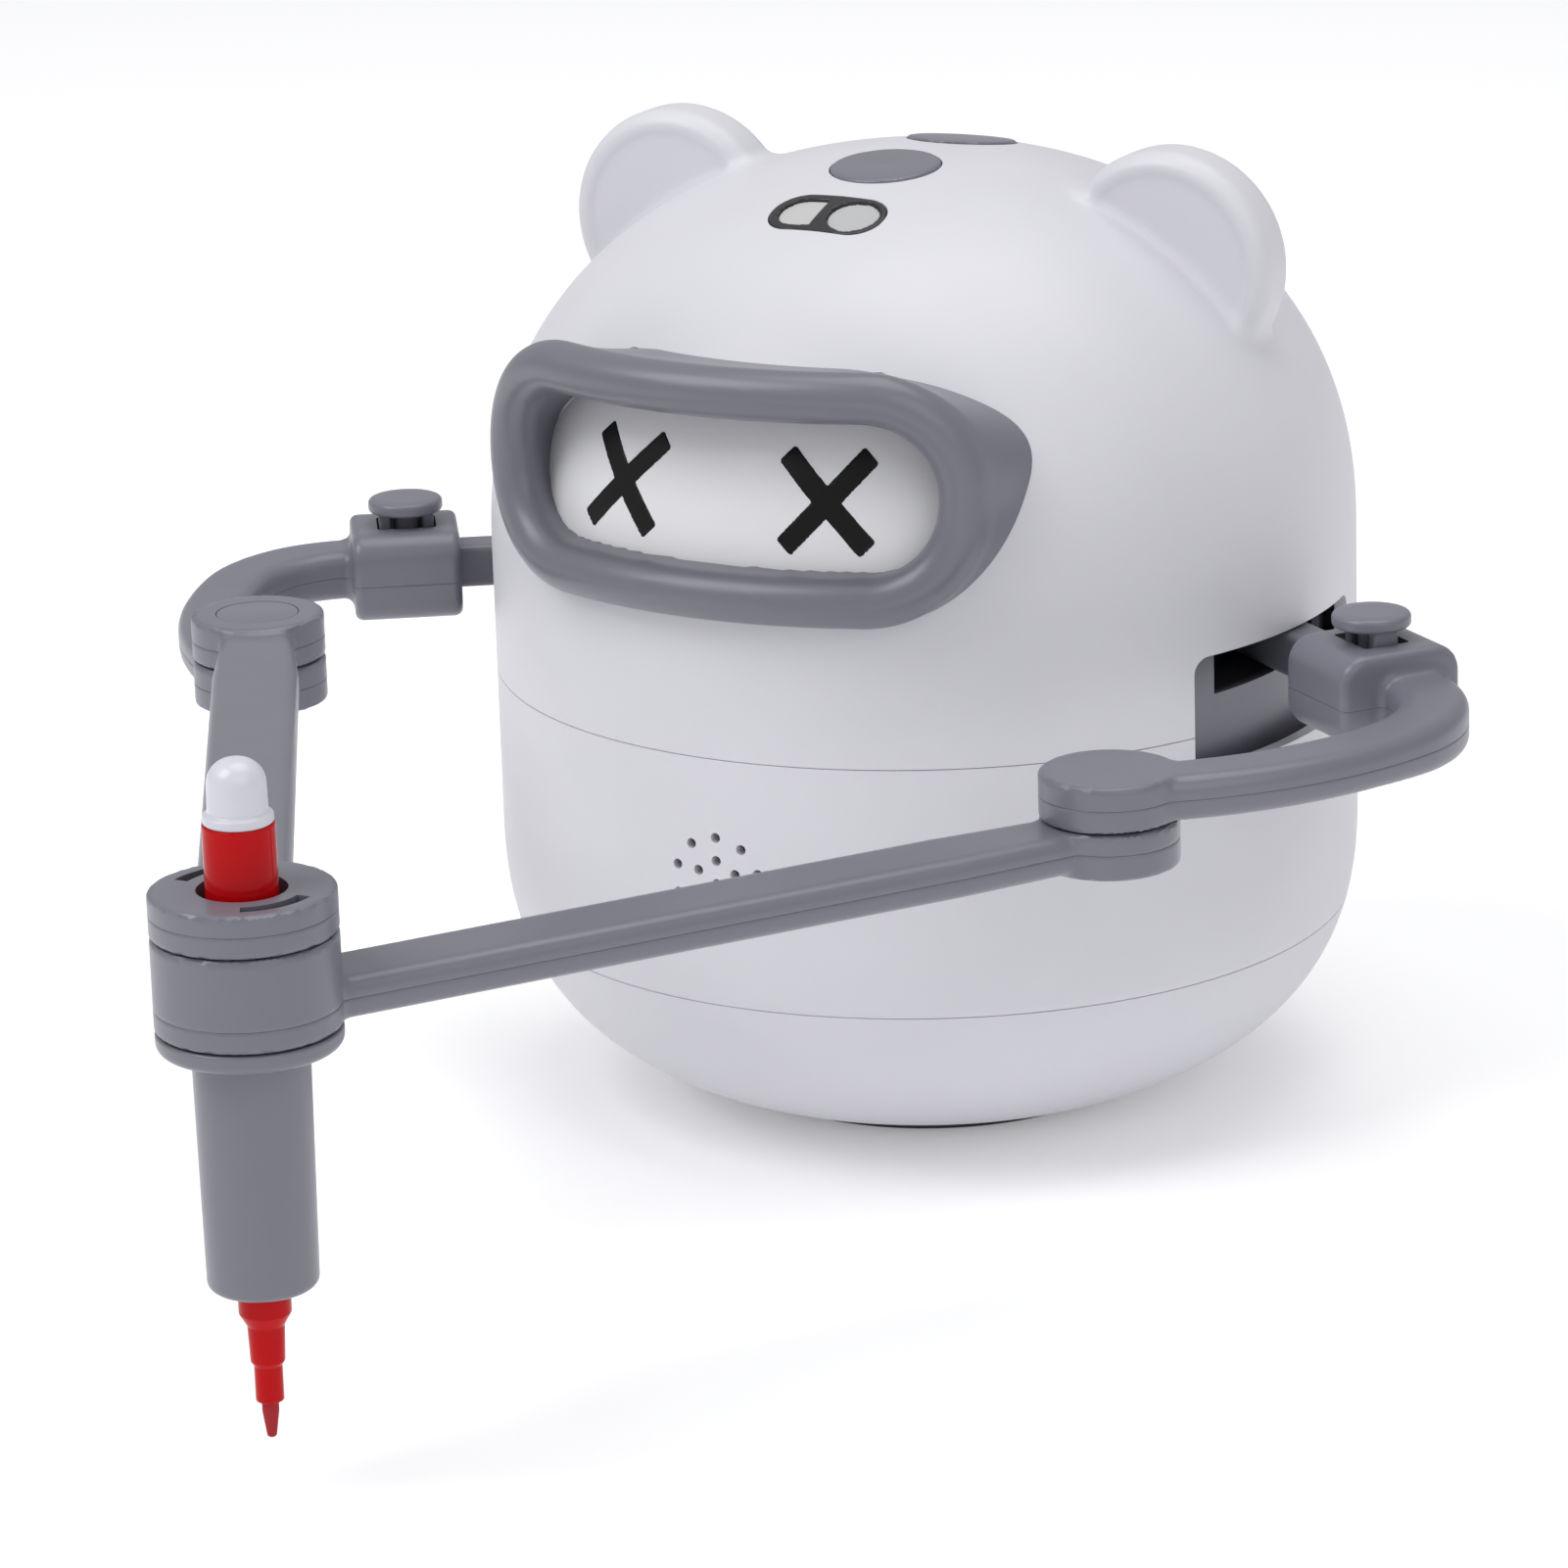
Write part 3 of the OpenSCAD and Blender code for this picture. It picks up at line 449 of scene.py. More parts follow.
def metal(name, colour, roughness):
    """Drawn steel: metallic, with a fine even grain."""
    material = moulded_plastic(name, colour, roughness, grain=0.02, edge_highlight_share=0)
    material.node_tree.nodes["Principled BSDF"].inputs["Metallic"].default_value = 1
    return material


def clear(name, colour, roughness, transmission):
    """Clear or milky plastic that lets light in."""
    material = moulded_plastic(name, colour, roughness, grain=0.01, edge_highlight_share=0)
    shader = material.node_tree.nodes["Principled BSDF"]
    shader.inputs["Transmission Weight"].default_value = transmission
    shader.inputs["IOR"].default_value = 1.47
    return material


# Each material's edge share below is a painted highlight along its sharpest edges; the grey's is the strongest.
WHITE = moulded_plastic("white_plastic", (0.615, 0.61, 0.65), 0.42, grain=0.05, edge_highlight_share=0.05)
GREY = moulded_plastic("grey_plastic", (0.155, 0.158, 0.19), 0.32, grain=0.02, edge_highlight_share=0.10)
BLACK = moulded_plastic("black_plastic", (0.018, 0.018, 0.02), 0.35)
FACE = moulded_plastic("face_plastic", (0.78, 0.78, 0.80), 0.22, grain=0.01, edge_highlight_share=0)
INK_PRINT = moulded_plastic("eye_print", (0.002, 0.002, 0.0025), 0.3, grain=0.02, edge_highlight_share=0, specular=0.3)
RED = moulded_plastic("red_plastic", (0.46, 0.002, 0.004), 0.13, grain=0.01, edge_highlight_share=0.05, specular=0.12)
PLUG = moulded_plastic("plug_plastic", (0.60, 0.60, 0.66), 0.25, grain=0.01, edge_highlight_share=0)
FIBRE = moulded_plastic("ink_fibre", (0.33, 0.008, 0.014), 0.8, grain=0.4, edge_highlight_share=0)
RUBBER = moulded_plastic("rubber", (0.02, 0.02, 0.02), 0.75, grain=0.3)
STEEL = metal("steel", (0.6, 0.61, 0.63), 0.28)
LENS = clear("clear_lens", (0.56, 0.57, 0.58), 0.12, 0.2)
DIFFUSER = moulded_plastic("diffuser", (0.50, 0.50, 0.49), 0.3, grain=0.02, edge_highlight_share=0)
BOARD = moulded_plastic("circuit_board", (0.02, 0.16, 0.06), 0.3)
BATTERY = moulded_plastic("battery_wrap", (0.03, 0.12, 0.35), 0.2, grain=0.01)
MOTOR = moulded_plastic("motor_case", (0.02, 0.04, 0.12), 0.4)
GEAR = moulded_plastic("gear_plastic", (0.75, 0.74, 0.70), 0.45)

MATERIALS = {
    "white_plastic": WHITE, "grey_plastic": GREY, "black_plastic": BLACK, "face_plastic": FACE,
    "eye_print": INK_PRINT, "red_plastic": RED, "plug_plastic": PLUG, "ink_fibre": FIBRE,
    "rubber": RUBBER, "steel": STEEL, "clear_lens": LENS, "diffuser": DIFFUSER,
    "circuit_board": BOARD, "battery_wrap": BATTERY, "motor_case": MOTOR, "gear_plastic": GEAR,
}


def dress_cad_nodes():
    """Gives every CAD node that stays the material of its record slot."""
    for row in frame["record"]["subparts"]:
        node = frame["nodes"][row["node"]]
        node.data.materials.clear()
        node.data.materials.append(MATERIALS[row["material_slot"]])


# ---- Shells ---------------------------------------------------------------


def shell_profile(low, high, inset, steps=44):
    """Points up the shell's outline between two heights, moved inwards by inset."""
    r = SHELL_R - inset
    points = []
    for i in range(steps + 1):
        z = low + (high - low) * i / steps
        up = max(z - DOME_Z, 0) / (CROWN_Z - DOME_Z - inset)
        down = max(BOWL_Z - z, 0) / (BOWL_DEPTH - inset)
        share = (1 - up**DOME_POWER) ** (1 / DOME_POWER) * (1 - down**BOWL_POWER) ** (1 / BOWL_POWER)
        points.append((r * share, z))
    return points


def side_windows():
    """Cutters for the windows that the arm stubs come out of."""
    front, rear, low, top, corner = -34.2, 17.3, 76.0, 97.2, 3.0
    outline = rect_outline(rear - front, top - low, corner)
    middle = ((front + rear) / 2, (top + low) / 2)
    for side in (-1, 1):
        turn = Matrix(((0, 0, side, 0), (1, 0, 0, 0), (0, 1, 0, 0), (0, 0, 0, 1)))
        place = Matrix.Translation((side * 45, *middle)) @ turn
        yield prism(outline, 60, place)


def speaker_holes():
    """Cutters for the rings of small holes in front of the speaker."""
    z, r = 59.5, 0.95
    for count, ring in ((1, 0), (6, 4.3), (10, 8.6)):
        for i in range(count):
            a = math.radians(90) + math.tau * i / count
            place = (ring * math.cos(a), -SHELL_R - 5, z + ring * math.sin(a))
            turn = Matrix.Translation(place) @ Matrix.Rotation(-math.pi / 2, 4, "X")
            yield prism(circle_outline(r, 20), 20, turn)


def rear_openings():
    """Cutters for the charging socket and the power switch, at the back."""
    for x, width, height, corner in ((14, 9.8, 4.0, 1.9), (-14, 10, 4.4, 0.6)):
        place = Matrix.Translation((x, SHELL_R + 6, 50)) @ Matrix.Rotation(math.pi / 2, 4, "X")
        yield prism(rect_outline(width, height, corner), 14, place)


def shell_ring(name, low, high):
    """A band of the hollow shell, its edges eased where it meets the next band."""
    outside = shell_profile(low + SEAM_EASE, high - SEAM_EASE, 0)
    inside = shell_profile(low, high, WALL)
    inside.reverse()
    bottom = (outside[0][0] - SEAM_EASE, low)
    top = (outside[-1][0] - SEAM_EASE, high)
    return turned(name, [bottom, *outside, top, *inside], steps=192)


def base_shell():
    """The bowl that the robot stands on, with its floor."""
    floor = PAD_H + WALL
    high = LOW_SEAM - SEAM_GAP / 2
    outside = shell_profile(PAD_H, high - SEAM_EASE, 0, steps=60)
    inside = shell_profile(floor, high, WALL, steps=40)
    inside.reverse()
    rim = (outside[-1][0] - SEAM_EASE, high)
    return turned("base_bowl", [(0, PAD_H), *outside, rim, *inside, (0, floor)], steps=192)


EAR_X, EAR_Z, EAR_R = 51.0, 159.6, 21.0
EAR_FRONT, EAR_BACK = -3.0, 9.0
EAR_ROUND = 3.6
EAR_FILLET = 2.5
EAR_DISH_R, EAR_DISH, EAR_DISH_SLOPE = 18.6, 0.65, 2.6


def ear_field(x, y, z):
    """A thick round disc with rolled rims and a softly dished front."""
    out = np.hypot(np.abs(x) - EAR_X, z - EAR_Z)
    front = EAR_FRONT + EAR_DISH * eased((EAR_DISH_R - out) / EAR_DISH_SLOPE)
    return round_and(out - EAR_R, np.maximum(front - y, y - EAR_BACK), EAR_ROUND)


def head_field(x, y, z):
    """The dome and both ears, blended as one moulding."""
    return round_or(shell_field(x, y, z), ear_field(x, y, z), EAR_FILLET)


def head_cavity():
    """Cutter for the hollow inside the head."""
    low, top = HIGH_SEAM - 10, CROWN_Z - WALL
    wall = [(SHELL_R - WALL, low), *shell_profile(HIGH_SEAM - 5, top, WALL, steps=90)]
    return turned("cavity", [(0, low), *wall], steps=192)


TOP_BUTTON_R = 10.1
FRONT_BUTTON_Y = joint_mm("front_button_press")[1]
REAR_BUTTON_Y = joint_mm("rear_button_press")[1]
SCANNER_Y, SCANNER_W, SCANNER_H = -33.0, 22.4, 11.6
FACE_W, FACE_H, FACE_Z = 84.0, 27.0, 132.5
FACE_HOLE = (FACE_W + 6, FACE_H + 10)


def head_shell():
    """The head with its ears, cut for the face, the buttons and the scanner."""
    low = (-SHELL_R - 1, -SHELL_R - 1, HIGH_SEAM - 4)
    high = (SHELL_R + 1, SHELL_R + 1, EAR_Z + EAR_R + 1)
    whole = moulded("whole_head", head_field, low, high, 1.15)
    head = half(whole, "head_moulding", HIGH_SEAM + SEAM_GAP / 2, True, lip=SEAM_EASE)
    bpy.data.objects.remove(whole)
    up = Matrix.Translation((0, 0, 150))
    face = Matrix.Translation((0, -60, FACE_Z)) @ Matrix.Rotation(math.pi / 2, 4, "X")
    carve(
        head,
        head_cavity(),
        prism(rect_outline(*FACE_HOLE, 0.49 * FACE_HOLE[1], 16), 60, face),
        *[prism(circle_outline(TOP_BUTTON_R + 0.25, 96), 60, up @ Matrix.Translation((0, y, 0)))
          for y in (FRONT_BUTTON_Y, REAR_BUTTON_Y)],
        prism(rect_outline(SCANNER_W + 0.3, SCANNER_H + 0.3, 5.6, 12), 60,
              up @ Matrix.Translation((0, SCANNER_Y, 0))),
        *side_windows(),
    )
    return head


# ---- Face, buttons and scanner --------------------------------------------


BEAD_R = 4.6
BEAD_RHO = 82.2
BEAD_HALF_ARC, BEAD_LOW, BEAD_TOP = 48.4, 113.9, 150.6
BEAD_Z = (BEAD_LOW + BEAD_TOP) / 2
TOP_DRAFT, CORNER_DRAFT = 0.0107, 0.023
DRAFT_FROM, DRAFT_OVER = 18, 34
SIDE_FLARE = 0.0027
GOGGLE_ROOT = 1.5
FACE_INSET, FACE_PLATE_T = 1.2, 2.2


def bead_line(arc, z):
    """Distance from the middle line of the goggle's bead, unrolled: arc round the head, and height."""
    high = BEAD_TOP - BEAD_LOW
    return rounded_rect(arc, z - BEAD_Z, 2 * BEAD_HALF_ARC, high, 0.49 * high)


def bead_line_from_front(x, z):
    """The same distance seen along Y, and how far out in x the nearest point of the line is."""
    def line(px, pz):
        return bead_line(BEAD_RHO * np.arcsin(np.clip(px / BEAD_RHO, -0.95, 0.95)), pz)
    h = 0.05
    slope_x = (line(x + h, z) - line(x - h, z)) / (2 * h)
    slope_z = (line(x, z + h) - line(x, z - h)) / (2 * h)
    slope = np.maximum(np.hypot(slope_x, slope_z), 0.3)
    away = line(x, z) / slope
    return away, x - away * slope_x / slope


def goggle_field(x, y, z):
    """A ring round the face: half-round in front, its flanks going back to the head.

    The upper flank slopes down as it goes back, most at the corners. The side flanks flare a little.
    """
    rho = np.hypot(x, y)
    bead = np.hypot(bead_line(BEAD_RHO * np.arctan2(x, -y), z), rho - BEAD_RHO) - BEAD_R
    back = np.maximum(y + np.sqrt(BEAD_RHO**2 - np.minimum(np.abs(x), 60) ** 2), 0)
    draft = TOP_DRAFT + CORNER_DRAFT * eased((np.abs(x) - DRAFT_FROM) / DRAFT_OVER)
    drafted_z = BEAD_Z + (z - BEAD_Z) * (1 + np.where(z > BEAD_Z, draft, 0) * back)
    away, near_x = bead_line_from_front(x * (1 - SIDE_FLARE * back), drafted_z)
    in_front = -y - np.sqrt(np.maximum(BEAD_RHO**2 - near_x**2, 1))
    flank = np.maximum(np.abs(away) - BEAD_R, in_front)
    opening = rounded_rect(x, z - FACE_Z, *FACE_HOLE, 0.49 * FACE_HOLE[1]) + 0.4
    skin_depth = -shell_field(x, y, z)
    kept = np.minimum(skin_depth - GOGGLE_ROOT, np.maximum(opening, skin_depth - FACE_INSET + 0.1))
    return np.maximum(np.maximum(np.minimum(bead, flank), kept), y + 40)


def goggle_frame():
    reach = BEAD_RHO + BEAD_R
    low = (-54, -reach - 1, BEAD_LOW - BEAD_R - 1)
    high = (54, -40, BEAD_TOP + BEAD_R + 1)
    return moulded("goggle_moulding", goggle_field, low, high, 0.9)


def face_plate():
    """The plate behind the goggle: it follows the head's curve, set in a little."""
    def field(x, y, z):
        depth = -shell_field(x, y, z)
        width, height = FACE_HOLE[0] - 0.8, FACE_HOLE[1] - 0.8
        outline = rounded_rect(x, z - FACE_Z, width, height, 0.48 * FACE_HOLE[1])
        sheet = slab(depth, FACE_INSET, FACE_INSET + FACE_PLATE_T)
        return np.maximum(np.maximum(sheet, outline), y + 40)
    half_w, half_h = FACE_HOLE[0] / 2, FACE_HOLE[1] / 2
    low = (-half_w, -SHELL_R, FACE_Z - half_h)
    high = (half_w, -45, FACE_Z + half_h)
    return moulded("face_plate_sheet", field, low, high, 1.0)


EYE_ANGLE = math.radians(15.7)
EYE_Z = FACE_Z - 2.5
EYE_BAR, EYE_BAR_W = 22.0, 3.9
EYE_TURN = math.radians(46)


def eye(side):
    """One printed cross, lying on the face plate."""
    turn = side * EYE_ANGLE
    def field(x, y, z):
        across, up = x * math.cos(turn) + y * math.sin(turn), z - EYE_Z
        cross = 100.0
        for lean in (-EYE_TURN, EYE_TURN):
            along = across * math.cos(lean) + up * math.sin(lean)
            aside = up * math.cos(lean) - across * math.sin(lean)
            cross = np.minimum(cross, rounded_rect(along, aside, EYE_BAR, EYE_BAR_W, 0.6))
        return np.maximum(cross, slab(-shell_field(x, y, z), FACE_INSET - 0.12, FACE_INSET + 0.8))
    middle = (SHELL_R - 6) * np.array((math.sin(turn), -math.cos(turn)))
    low = (middle[0] - 10, middle[1] - 8, EYE_Z - 9)
    high = (middle[0] + 10, middle[1] + 8, EYE_Z + 9)
    return moulded(("left" if side > 0 else "right") + "_eye_print", field, low, high, 0.3)


def top_button(name, y):
    """A round button that follows the dome, with a shallow finger dish."""
    def field(x, yy, z):
        dome = shell_field(x, yy, z)
        out = np.hypot(x, yy - y)
        dish = 0.35 * np.clip(1 - out / (TOP_BUTTON_R - 1.5), 0, 1)
        top = dome - 0.5 + dish
        return round_and(round_and(out - TOP_BUTTON_R, top, 0.6), 166.5 - z, 0.2)
    return moulded(name, field, (-12, y - 12, 166), (12, y + 12, CROWN_Z + 1), 0.6)


LENS_X, LENS_R = 5.3, 4.85
SCANNER_RIM, LAMP_EDGE = 1.6, -1.6
PANE_GAP, PANE_DEPTH, PANE_T = 0.05, 0.5, 1.0


def scanner_outline(x, y, inset=0):
    width, height = SCANNER_W - 2 * inset, SCANNER_H - 2 * inset
    return rounded_rect(x, y - SCANNER_Y, width, height, 0.49 * height)


def lens_outline(x, y):
    return np.hypot(x - LENS_X, y - SCANNER_Y) - LENS_R


def lamp_outline(x, y):
    return np.maximum(scanner_outline(x, y, SCANNER_RIM), x - LAMP_EDGE)


def crown_sheet(name, outline, top, thickness):
    """A piece of sheet let into the crown, its top a depth below the dome."""
    def field(x, y, z):
        depth = -shell_field(x, y, z)
        return round_and(outline(x, y), slab(depth, top, top + thickness), 0.15)
    low = (-SCANNER_W / 2, SCANNER_Y - SCANNER_H / 2, 164)
    high = (SCANNER_W / 2, SCANNER_Y + SCANNER_H / 2, CROWN_Z)
    return moulded(name, field, low, high, 0.3)


def scanner():
    """The black bezel on the crown, with a round lens and a milky lamp window."""
    def bezel(x, y):
        return np.maximum(scanner_outline(x, y), -np.minimum(lens_outline(x, y), lamp_outline(x, y)))
    def lens(x, y):
        return lens_outline(x, y) + PANE_GAP
    def lamp(x, y):
        return lamp_outline(x, y) + PANE_GAP
    frame_piece = crown_sheet("scanner_bezel_frame", bezel, -0.1, 1.8)
    finished(frame_piece, BLACK, "root", ["scanner_bezel"])
    lens_piece = crown_sheet("scanner_lens_pane", lens, PANE_DEPTH, PANE_T)
    finished(lens_piece, LENS, "root", ["scanner_lens"])
    lamp_piece = crown_sheet("scanner_lamp_pane", lamp, PANE_DEPTH, PANE_T)
    finished(lamp_piece, DIFFUSER, "root", ["scanner_lamp_window"])


# ---- Arms -----------------------------------------------------------------


ARM_GRID = 0.8
STUB_DIR = np.array([math.cos(STUB_SLANT), -math.sin(STUB_SLANT)])
STUB_SIDE = np.array([math.sin(STUB_SLANT), math.cos(STUB_SLANT)])
BEND_CENTRE = SHOULDER[:2] + BEND_START * STUB_DIR + (BEND_OFFSET - BEND_R) * STUB_SIDE
BEND_OUT = np.array([math.cos(BEND_END), math.sin(BEND_END)])
SWEEP_CENTRE = BEND_CENTRE - (SWEEP_R - BEND_R) * BEND_OUT
SWEEP_END = math.atan2(ELBOW[1] - SWEEP_CENTRE[1], ELBOW[0] - SWEEP_CENTRE[0])


def along_stub(x, y):
    """Distances along the stub from the shoulder, and sideways from it."""
    dx, dy = x - SHOULDER[0], y - SHOULDER[1]
    return dx * STUB_DIR[0] + dy * STUB_DIR[1], dx * STUB_SIDE[0] + dy * STUB_SIDE[1]


def arm_side(x, y):
    """Distance sideways from the arm's middle line: straight, then two bends."""
    reach, side = along_stub(x, y)
    bend_x, bend_y = x - BEND_CENTRE[0], y - BEND_CENTRE[1]
    in_bend = np.abs(np.hypot(bend_x, bend_y) - BEND_R)
    in_sweep = np.abs(np.hypot(x - SWEEP_CENTRE[0], y - SWEEP_CENTRE[1]) - SWEEP_R)
    past_bend = -bend_x * BEND_OUT[1] + bend_y * BEND_OUT[0] < 0
    before_sweep = np.where(reach < BEND_START, np.abs(side - BEND_OFFSET), in_bend)
    return np.where(past_bend, in_sweep, before_sweep)


def past_elbow(x, y):
    """Distance beyond the line across the arm at its elbow."""
    from_centre = (x - SWEEP_CENTRE[0], y - SWEEP_CENTRE[1])
    return from_centre[0] * math.sin(SWEEP_END) - from_centre[1] * math.cos(SWEEP_END)


def arm_field(x, y, z):
    """Sleeve, curved arm and elbow disc, blended as one moulding."""
    reach, side = along_stub(x, y)
    ends = np.maximum(past_elbow(x, y), SLEEVE[0] + 6 - reach)
    outline = np.maximum(arm_side(x, y) - ARM_W / 2, ends)
    from_elbow = np.hypot(x - ELBOW[0], y - ELBOW[1])
    deeper = ARM_DEEPER * np.clip((from_elbow - ARM_DEEPER_FROM) / 25, 0, 1)
    thickness = slab(z, ARM_LOW - deeper, ARM_TOP + deeper)
    arm = round_and(outline, thickness, 2.8)
    disc = round_and(from_elbow - ELBOW_R, slab(z, ARM_LOW, ARM_TOP), 0.7)
    block = rounded_rect(side, z - STUB_Z, SLEEVE_W, SLEEVE_H, SLEEVE_R)
    sleeve = round_and(block, slab(reach, *SLEEVE), 1.5)
    flat = np.maximum(round_or(arm, disc, 0.8), thickness)
    return round_or(flat, sleeve, 1.8)


def stub_matrix(reach, side=1):
    """From a space with x along the stub to the robot's, on its left or right side."""
    place = Matrix.Translation((*SHOULDER[:2], STUB_Z)) @ Matrix.Rotation(-STUB_SLANT, 4, "Z")
    return Matrix.Diagonal((side, 1, 1, 1)) @ place @ Matrix.Translation((reach, 0, 0))


# Turns a cutter made along z so that it runs along x.
TURN_X = Matrix(((0, 0, 1, 0), (1, 0, 0, 0), (0, 1, 0, 0), (0, 0, 0, 1)))


def arm(side, names, body):
    """One upper arm: bored for the stub, slotted for the release button."""
    field = arm_field if side > 0 else mirrored(arm_field)
    low = np.array((ELBOW[0] - ELBOW_R, ELBOW[1] - ELBOW_R, STUB_Z - SLEEVE_H / 2)) - 1
    high = np.array((BEND_CENTRE[0] + BEND_R + ARM_W, SHOULDER[1] - 2, STUB_Z + SLEEVE_H / 2)) + 1
    if side < 0:
        low[0], high[0] = -high[0], -low[0]
    piece = moulded("whole_arm", field, low, high, ARM_GRID)
    bore = rect_outline(STUB_W + 0.4, STUB_W + 0.4, 1.2)
    bore_start, bore_end = SLEEVE[0] - 2, BUTTON_REACH + 7
    button_slot = rect_outline(11.2, 9.2, 0.8)
    carve(
        piece,
        prism(bore, bore_end - bore_start, stub_matrix(bore_start, side) @ TURN_X),
        prism(button_slot, 20, stub_matrix(BUTTON_REACH, side)),
    )
    halves(piece, ARM_Z, names, GREY, body)


def stub(name, side, body):
    """The square bar from the shoulder that the arm's sleeve slides onto."""
    def field(x, y, z):
        reach, across = along_stub(side * x, y)
        square = rounded_rect(across, z - STUB_Z, STUB_W, STUB_W, 1.3)
        bar = round_and(square, slab(reach, 0, BUTTON_REACH + 6), 0.6)
        from_pivot = np.hypot(side * x - SHOULDER[0], y - SHOULDER[1])
        hub = round_and(from_pivot - HUB_R, slab(z - STUB_Z, -HUB_H / 2, HUB_H / 2), 0.6)
        return round_or(bar, hub, 1.0)
    far = SHOULDER[:2] + (BUTTON_REACH + 7) * STUB_DIR
    xs = sorted((side * (SHOULDER[0] - 9), side * (far[0] + 5)))
    low = (xs[0], far[1] - 5, STUB_Z - 6)
    high = (xs[1], SHOULDER[1] + 9, STUB_Z + 6)
    piece = moulded(name, field, low, high, 0.6)
    finished(piece, GREY, body, [name.replace("_bar", "")])


def release_button(name, side, body, node):
    """A round push cap on a neck with two latch prongs."""
    x, y = SHOULDER[:2] + BUTTON_REACH * STUB_DIR
    cap_z, cap_top, cap_r = 103.4, 106.0, 7.05
    foot = STUB_Z + STUB_W / 2 + 2.6
    outline = filleted([
        (0, foot, 0), (2.4, foot, 0.3), (2.4, cap_z, 0.3), (cap_r, cap_z, 0.7),
        (cap_r, cap_top - 0.2, 0.9), (4.6, cap_top, 0.6), (0, cap_top, 0),
    ])
    cap = turned(name, outline, 96, side * x, y)
    lift = Matrix.Translation((0, 0, foot - STUB_Z))
    for along in (-4.1, 4.1):
        place = stub_matrix(BUTTON_REACH + along, side) @ lift
        merge(cap, prism(rect_outline(2.2, 5.0, 0.5), cap_z + 0.5 - foot, place))
    finished(cap, GREY, body, [node])


def merge(piece, other):
    """Adds the other object's mesh to the piece's, and deletes the other."""
    bm = bmesh.new()
    bm.from_mesh(piece.data)
    bm.from_mesh(other.data)
    bm.to_mesh(piece.data)
    bm.free()
    bpy.data.objects.remove(other)


# ---- Links, elbows and holder ---------------------------------------------


LINK_HEADING = math.atan2(PEN[1] - ELBOW[1], -ELBOW[0])


def along_link(x, y):
    """Distances along the left link from its elbow, and sideways from it."""
    dx, dy = x - ELBOW[0], y - ELBOW[1]
    c, s = math.cos(LINK_HEADING), math.sin(LINK_HEADING)
    return dx * c + dy * s, dy * c - dx * s


def link_field(disc_low, bar_low, bar_top, end_low, end_top):
    """A link: elbow disc, rounded bar, and the round part of the holder at its end."""
    def field(x, y, z):
        reach, side = along_link(x, y)
        half_width = LINK_W / 2 - LINK_TAPER * np.clip((32 - reach) / 20, 0, 1)
        outline = np.maximum(np.abs(side) - half_width, slab(reach, 2, LINK_LENGTH - 2))
        bar = round_and(outline, slab(z, bar_low, bar_top), 2.3)
        from_elbow = np.hypot(x - ELBOW[0], y - ELBOW[1])
        thickness = slab(z, disc_low, disc_low + DISC_H)
        disc = round_and(from_elbow - ELBOW_R, thickness, 0.7)
        end = round_and(np.hypot(x, y - PEN[1]) - HOLDER_R, slab(z, end_low, end_top), 0.6)
        flat = np.maximum(round_or(bar, disc, 0.9), thickness)
        return round_or(flat, end, 0.8)
    return field


def seat(x, disc_low, top):
    """Cutter for the round seat of an elbow cap."""
    depth = CAP_T + 0.1
    z = disc_low + DISC_H - depth if top else disc_low - 5 + depth
    return prism(circle_outline(CAP_R + 0.12, 96), 5, Matrix.Translation((x, ELBOW[1], z)))


def pen_cutter(r, low, depth):
    """Cutter for a round hole about the marker."""
    return prism(circle_outline(r, 96), depth, Matrix.Translation((0, PEN[1], low)))


def arc_slot(start, turn=62, r=11.2, width=2.4, steps=20):
    """Cutter for one curved slot in the holder ring, from an angle in degrees."""
    angles = [math.radians(start + turn * i / steps) for i in range(steps + 1)]
    outer = [((r + width / 2) * math.cos(a), (r + width / 2) * math.sin(a)) for a in angles]
    inner = [((r - width / 2) * math.cos(a), (r - width / 2) * math.sin(a)) for a in reversed(angles)]
    return prism(outer + inner, 20, Matrix.Translation((0, PEN[1], RIGHT_DISC + 3)))


def link(name, field, low, high, cutters):
    """One link: meshed, cut, and split at the parting line of its CAD nodes."""
    names = (name + "_top", name + "_bottom")
    piece = moulded(name, field, low, high, ARM_GRID)
    carve(piece, *cutters)
    parting = (box_mm(names[0])[0][2] + box_mm(names[1])[1][2]) / 2
    halves(piece, parting, names, GREY, name)


def links():
    """The left link, which ends in the holder's drum, and the right one, which ends in its ring."""
    low = (-HOLDER_R - 1, PEN[1] - HOLDER_R - 1)
    high = (ELBOW[0] + ELBOW_R + 1, ELBOW[1] + ELBOW_R + 1)

    bar_low = LEFT_DISC + 0.8
    field = link_field(LEFT_DISC, bar_low, bar_low + BAR_H, DRUM_LOW, ARM_TOP)
    bore = pen_cutter(9.9, DRUM_LOW - 2, 30)
    cap_seat = seat(ELBOW[0], LEFT_DISC, top=False)
    link("left_link", field, (*low, LEFT_DISC - 1), (*high, ARM_TOP + 1), (bore, cap_seat))

    field = mirrored(link_field(RIGHT_DISC, RIGHT_DISC, RIGHT_DISC + BAR_H, RIGHT_DISC, RING_TOP))
    bore = pen_cutter(7.4, RIGHT_DISC - 2, 30)
    cap_seat = seat(-ELBOW[0], RIGHT_DISC, top=True)
    right_low = (-high[0], low[1], RIGHT_DISC - 1)
    right_high = (-low[0], high[1], RIGHT_DISC + DISC_H + 1)
    link("right_link", field, right_low, right_high, (bore, arc_slot(-58), arc_slot(122), cap_seat))


def elbow_caps():
    """The round heads of the two elbow pins, each flush with its link."""
    for side, hand, low in ((1, "left", LEFT_DISC), (-1, "right", RIGHT_DISC + DISC_H - CAP_T)):
        name = hand + "_elbow_cap"
        corners = [(0, low, 0), (CAP_R, low, 0.18), (CAP_R, low + CAP_T, 0.18), (0, low + CAP_T, 0)]
        cap = turned(name + "_disc", filleted(corners, 3), 96, side * ELBOW[0], ELBOW[1])
        finished(cap, GREY, hand + "_arm", [name])


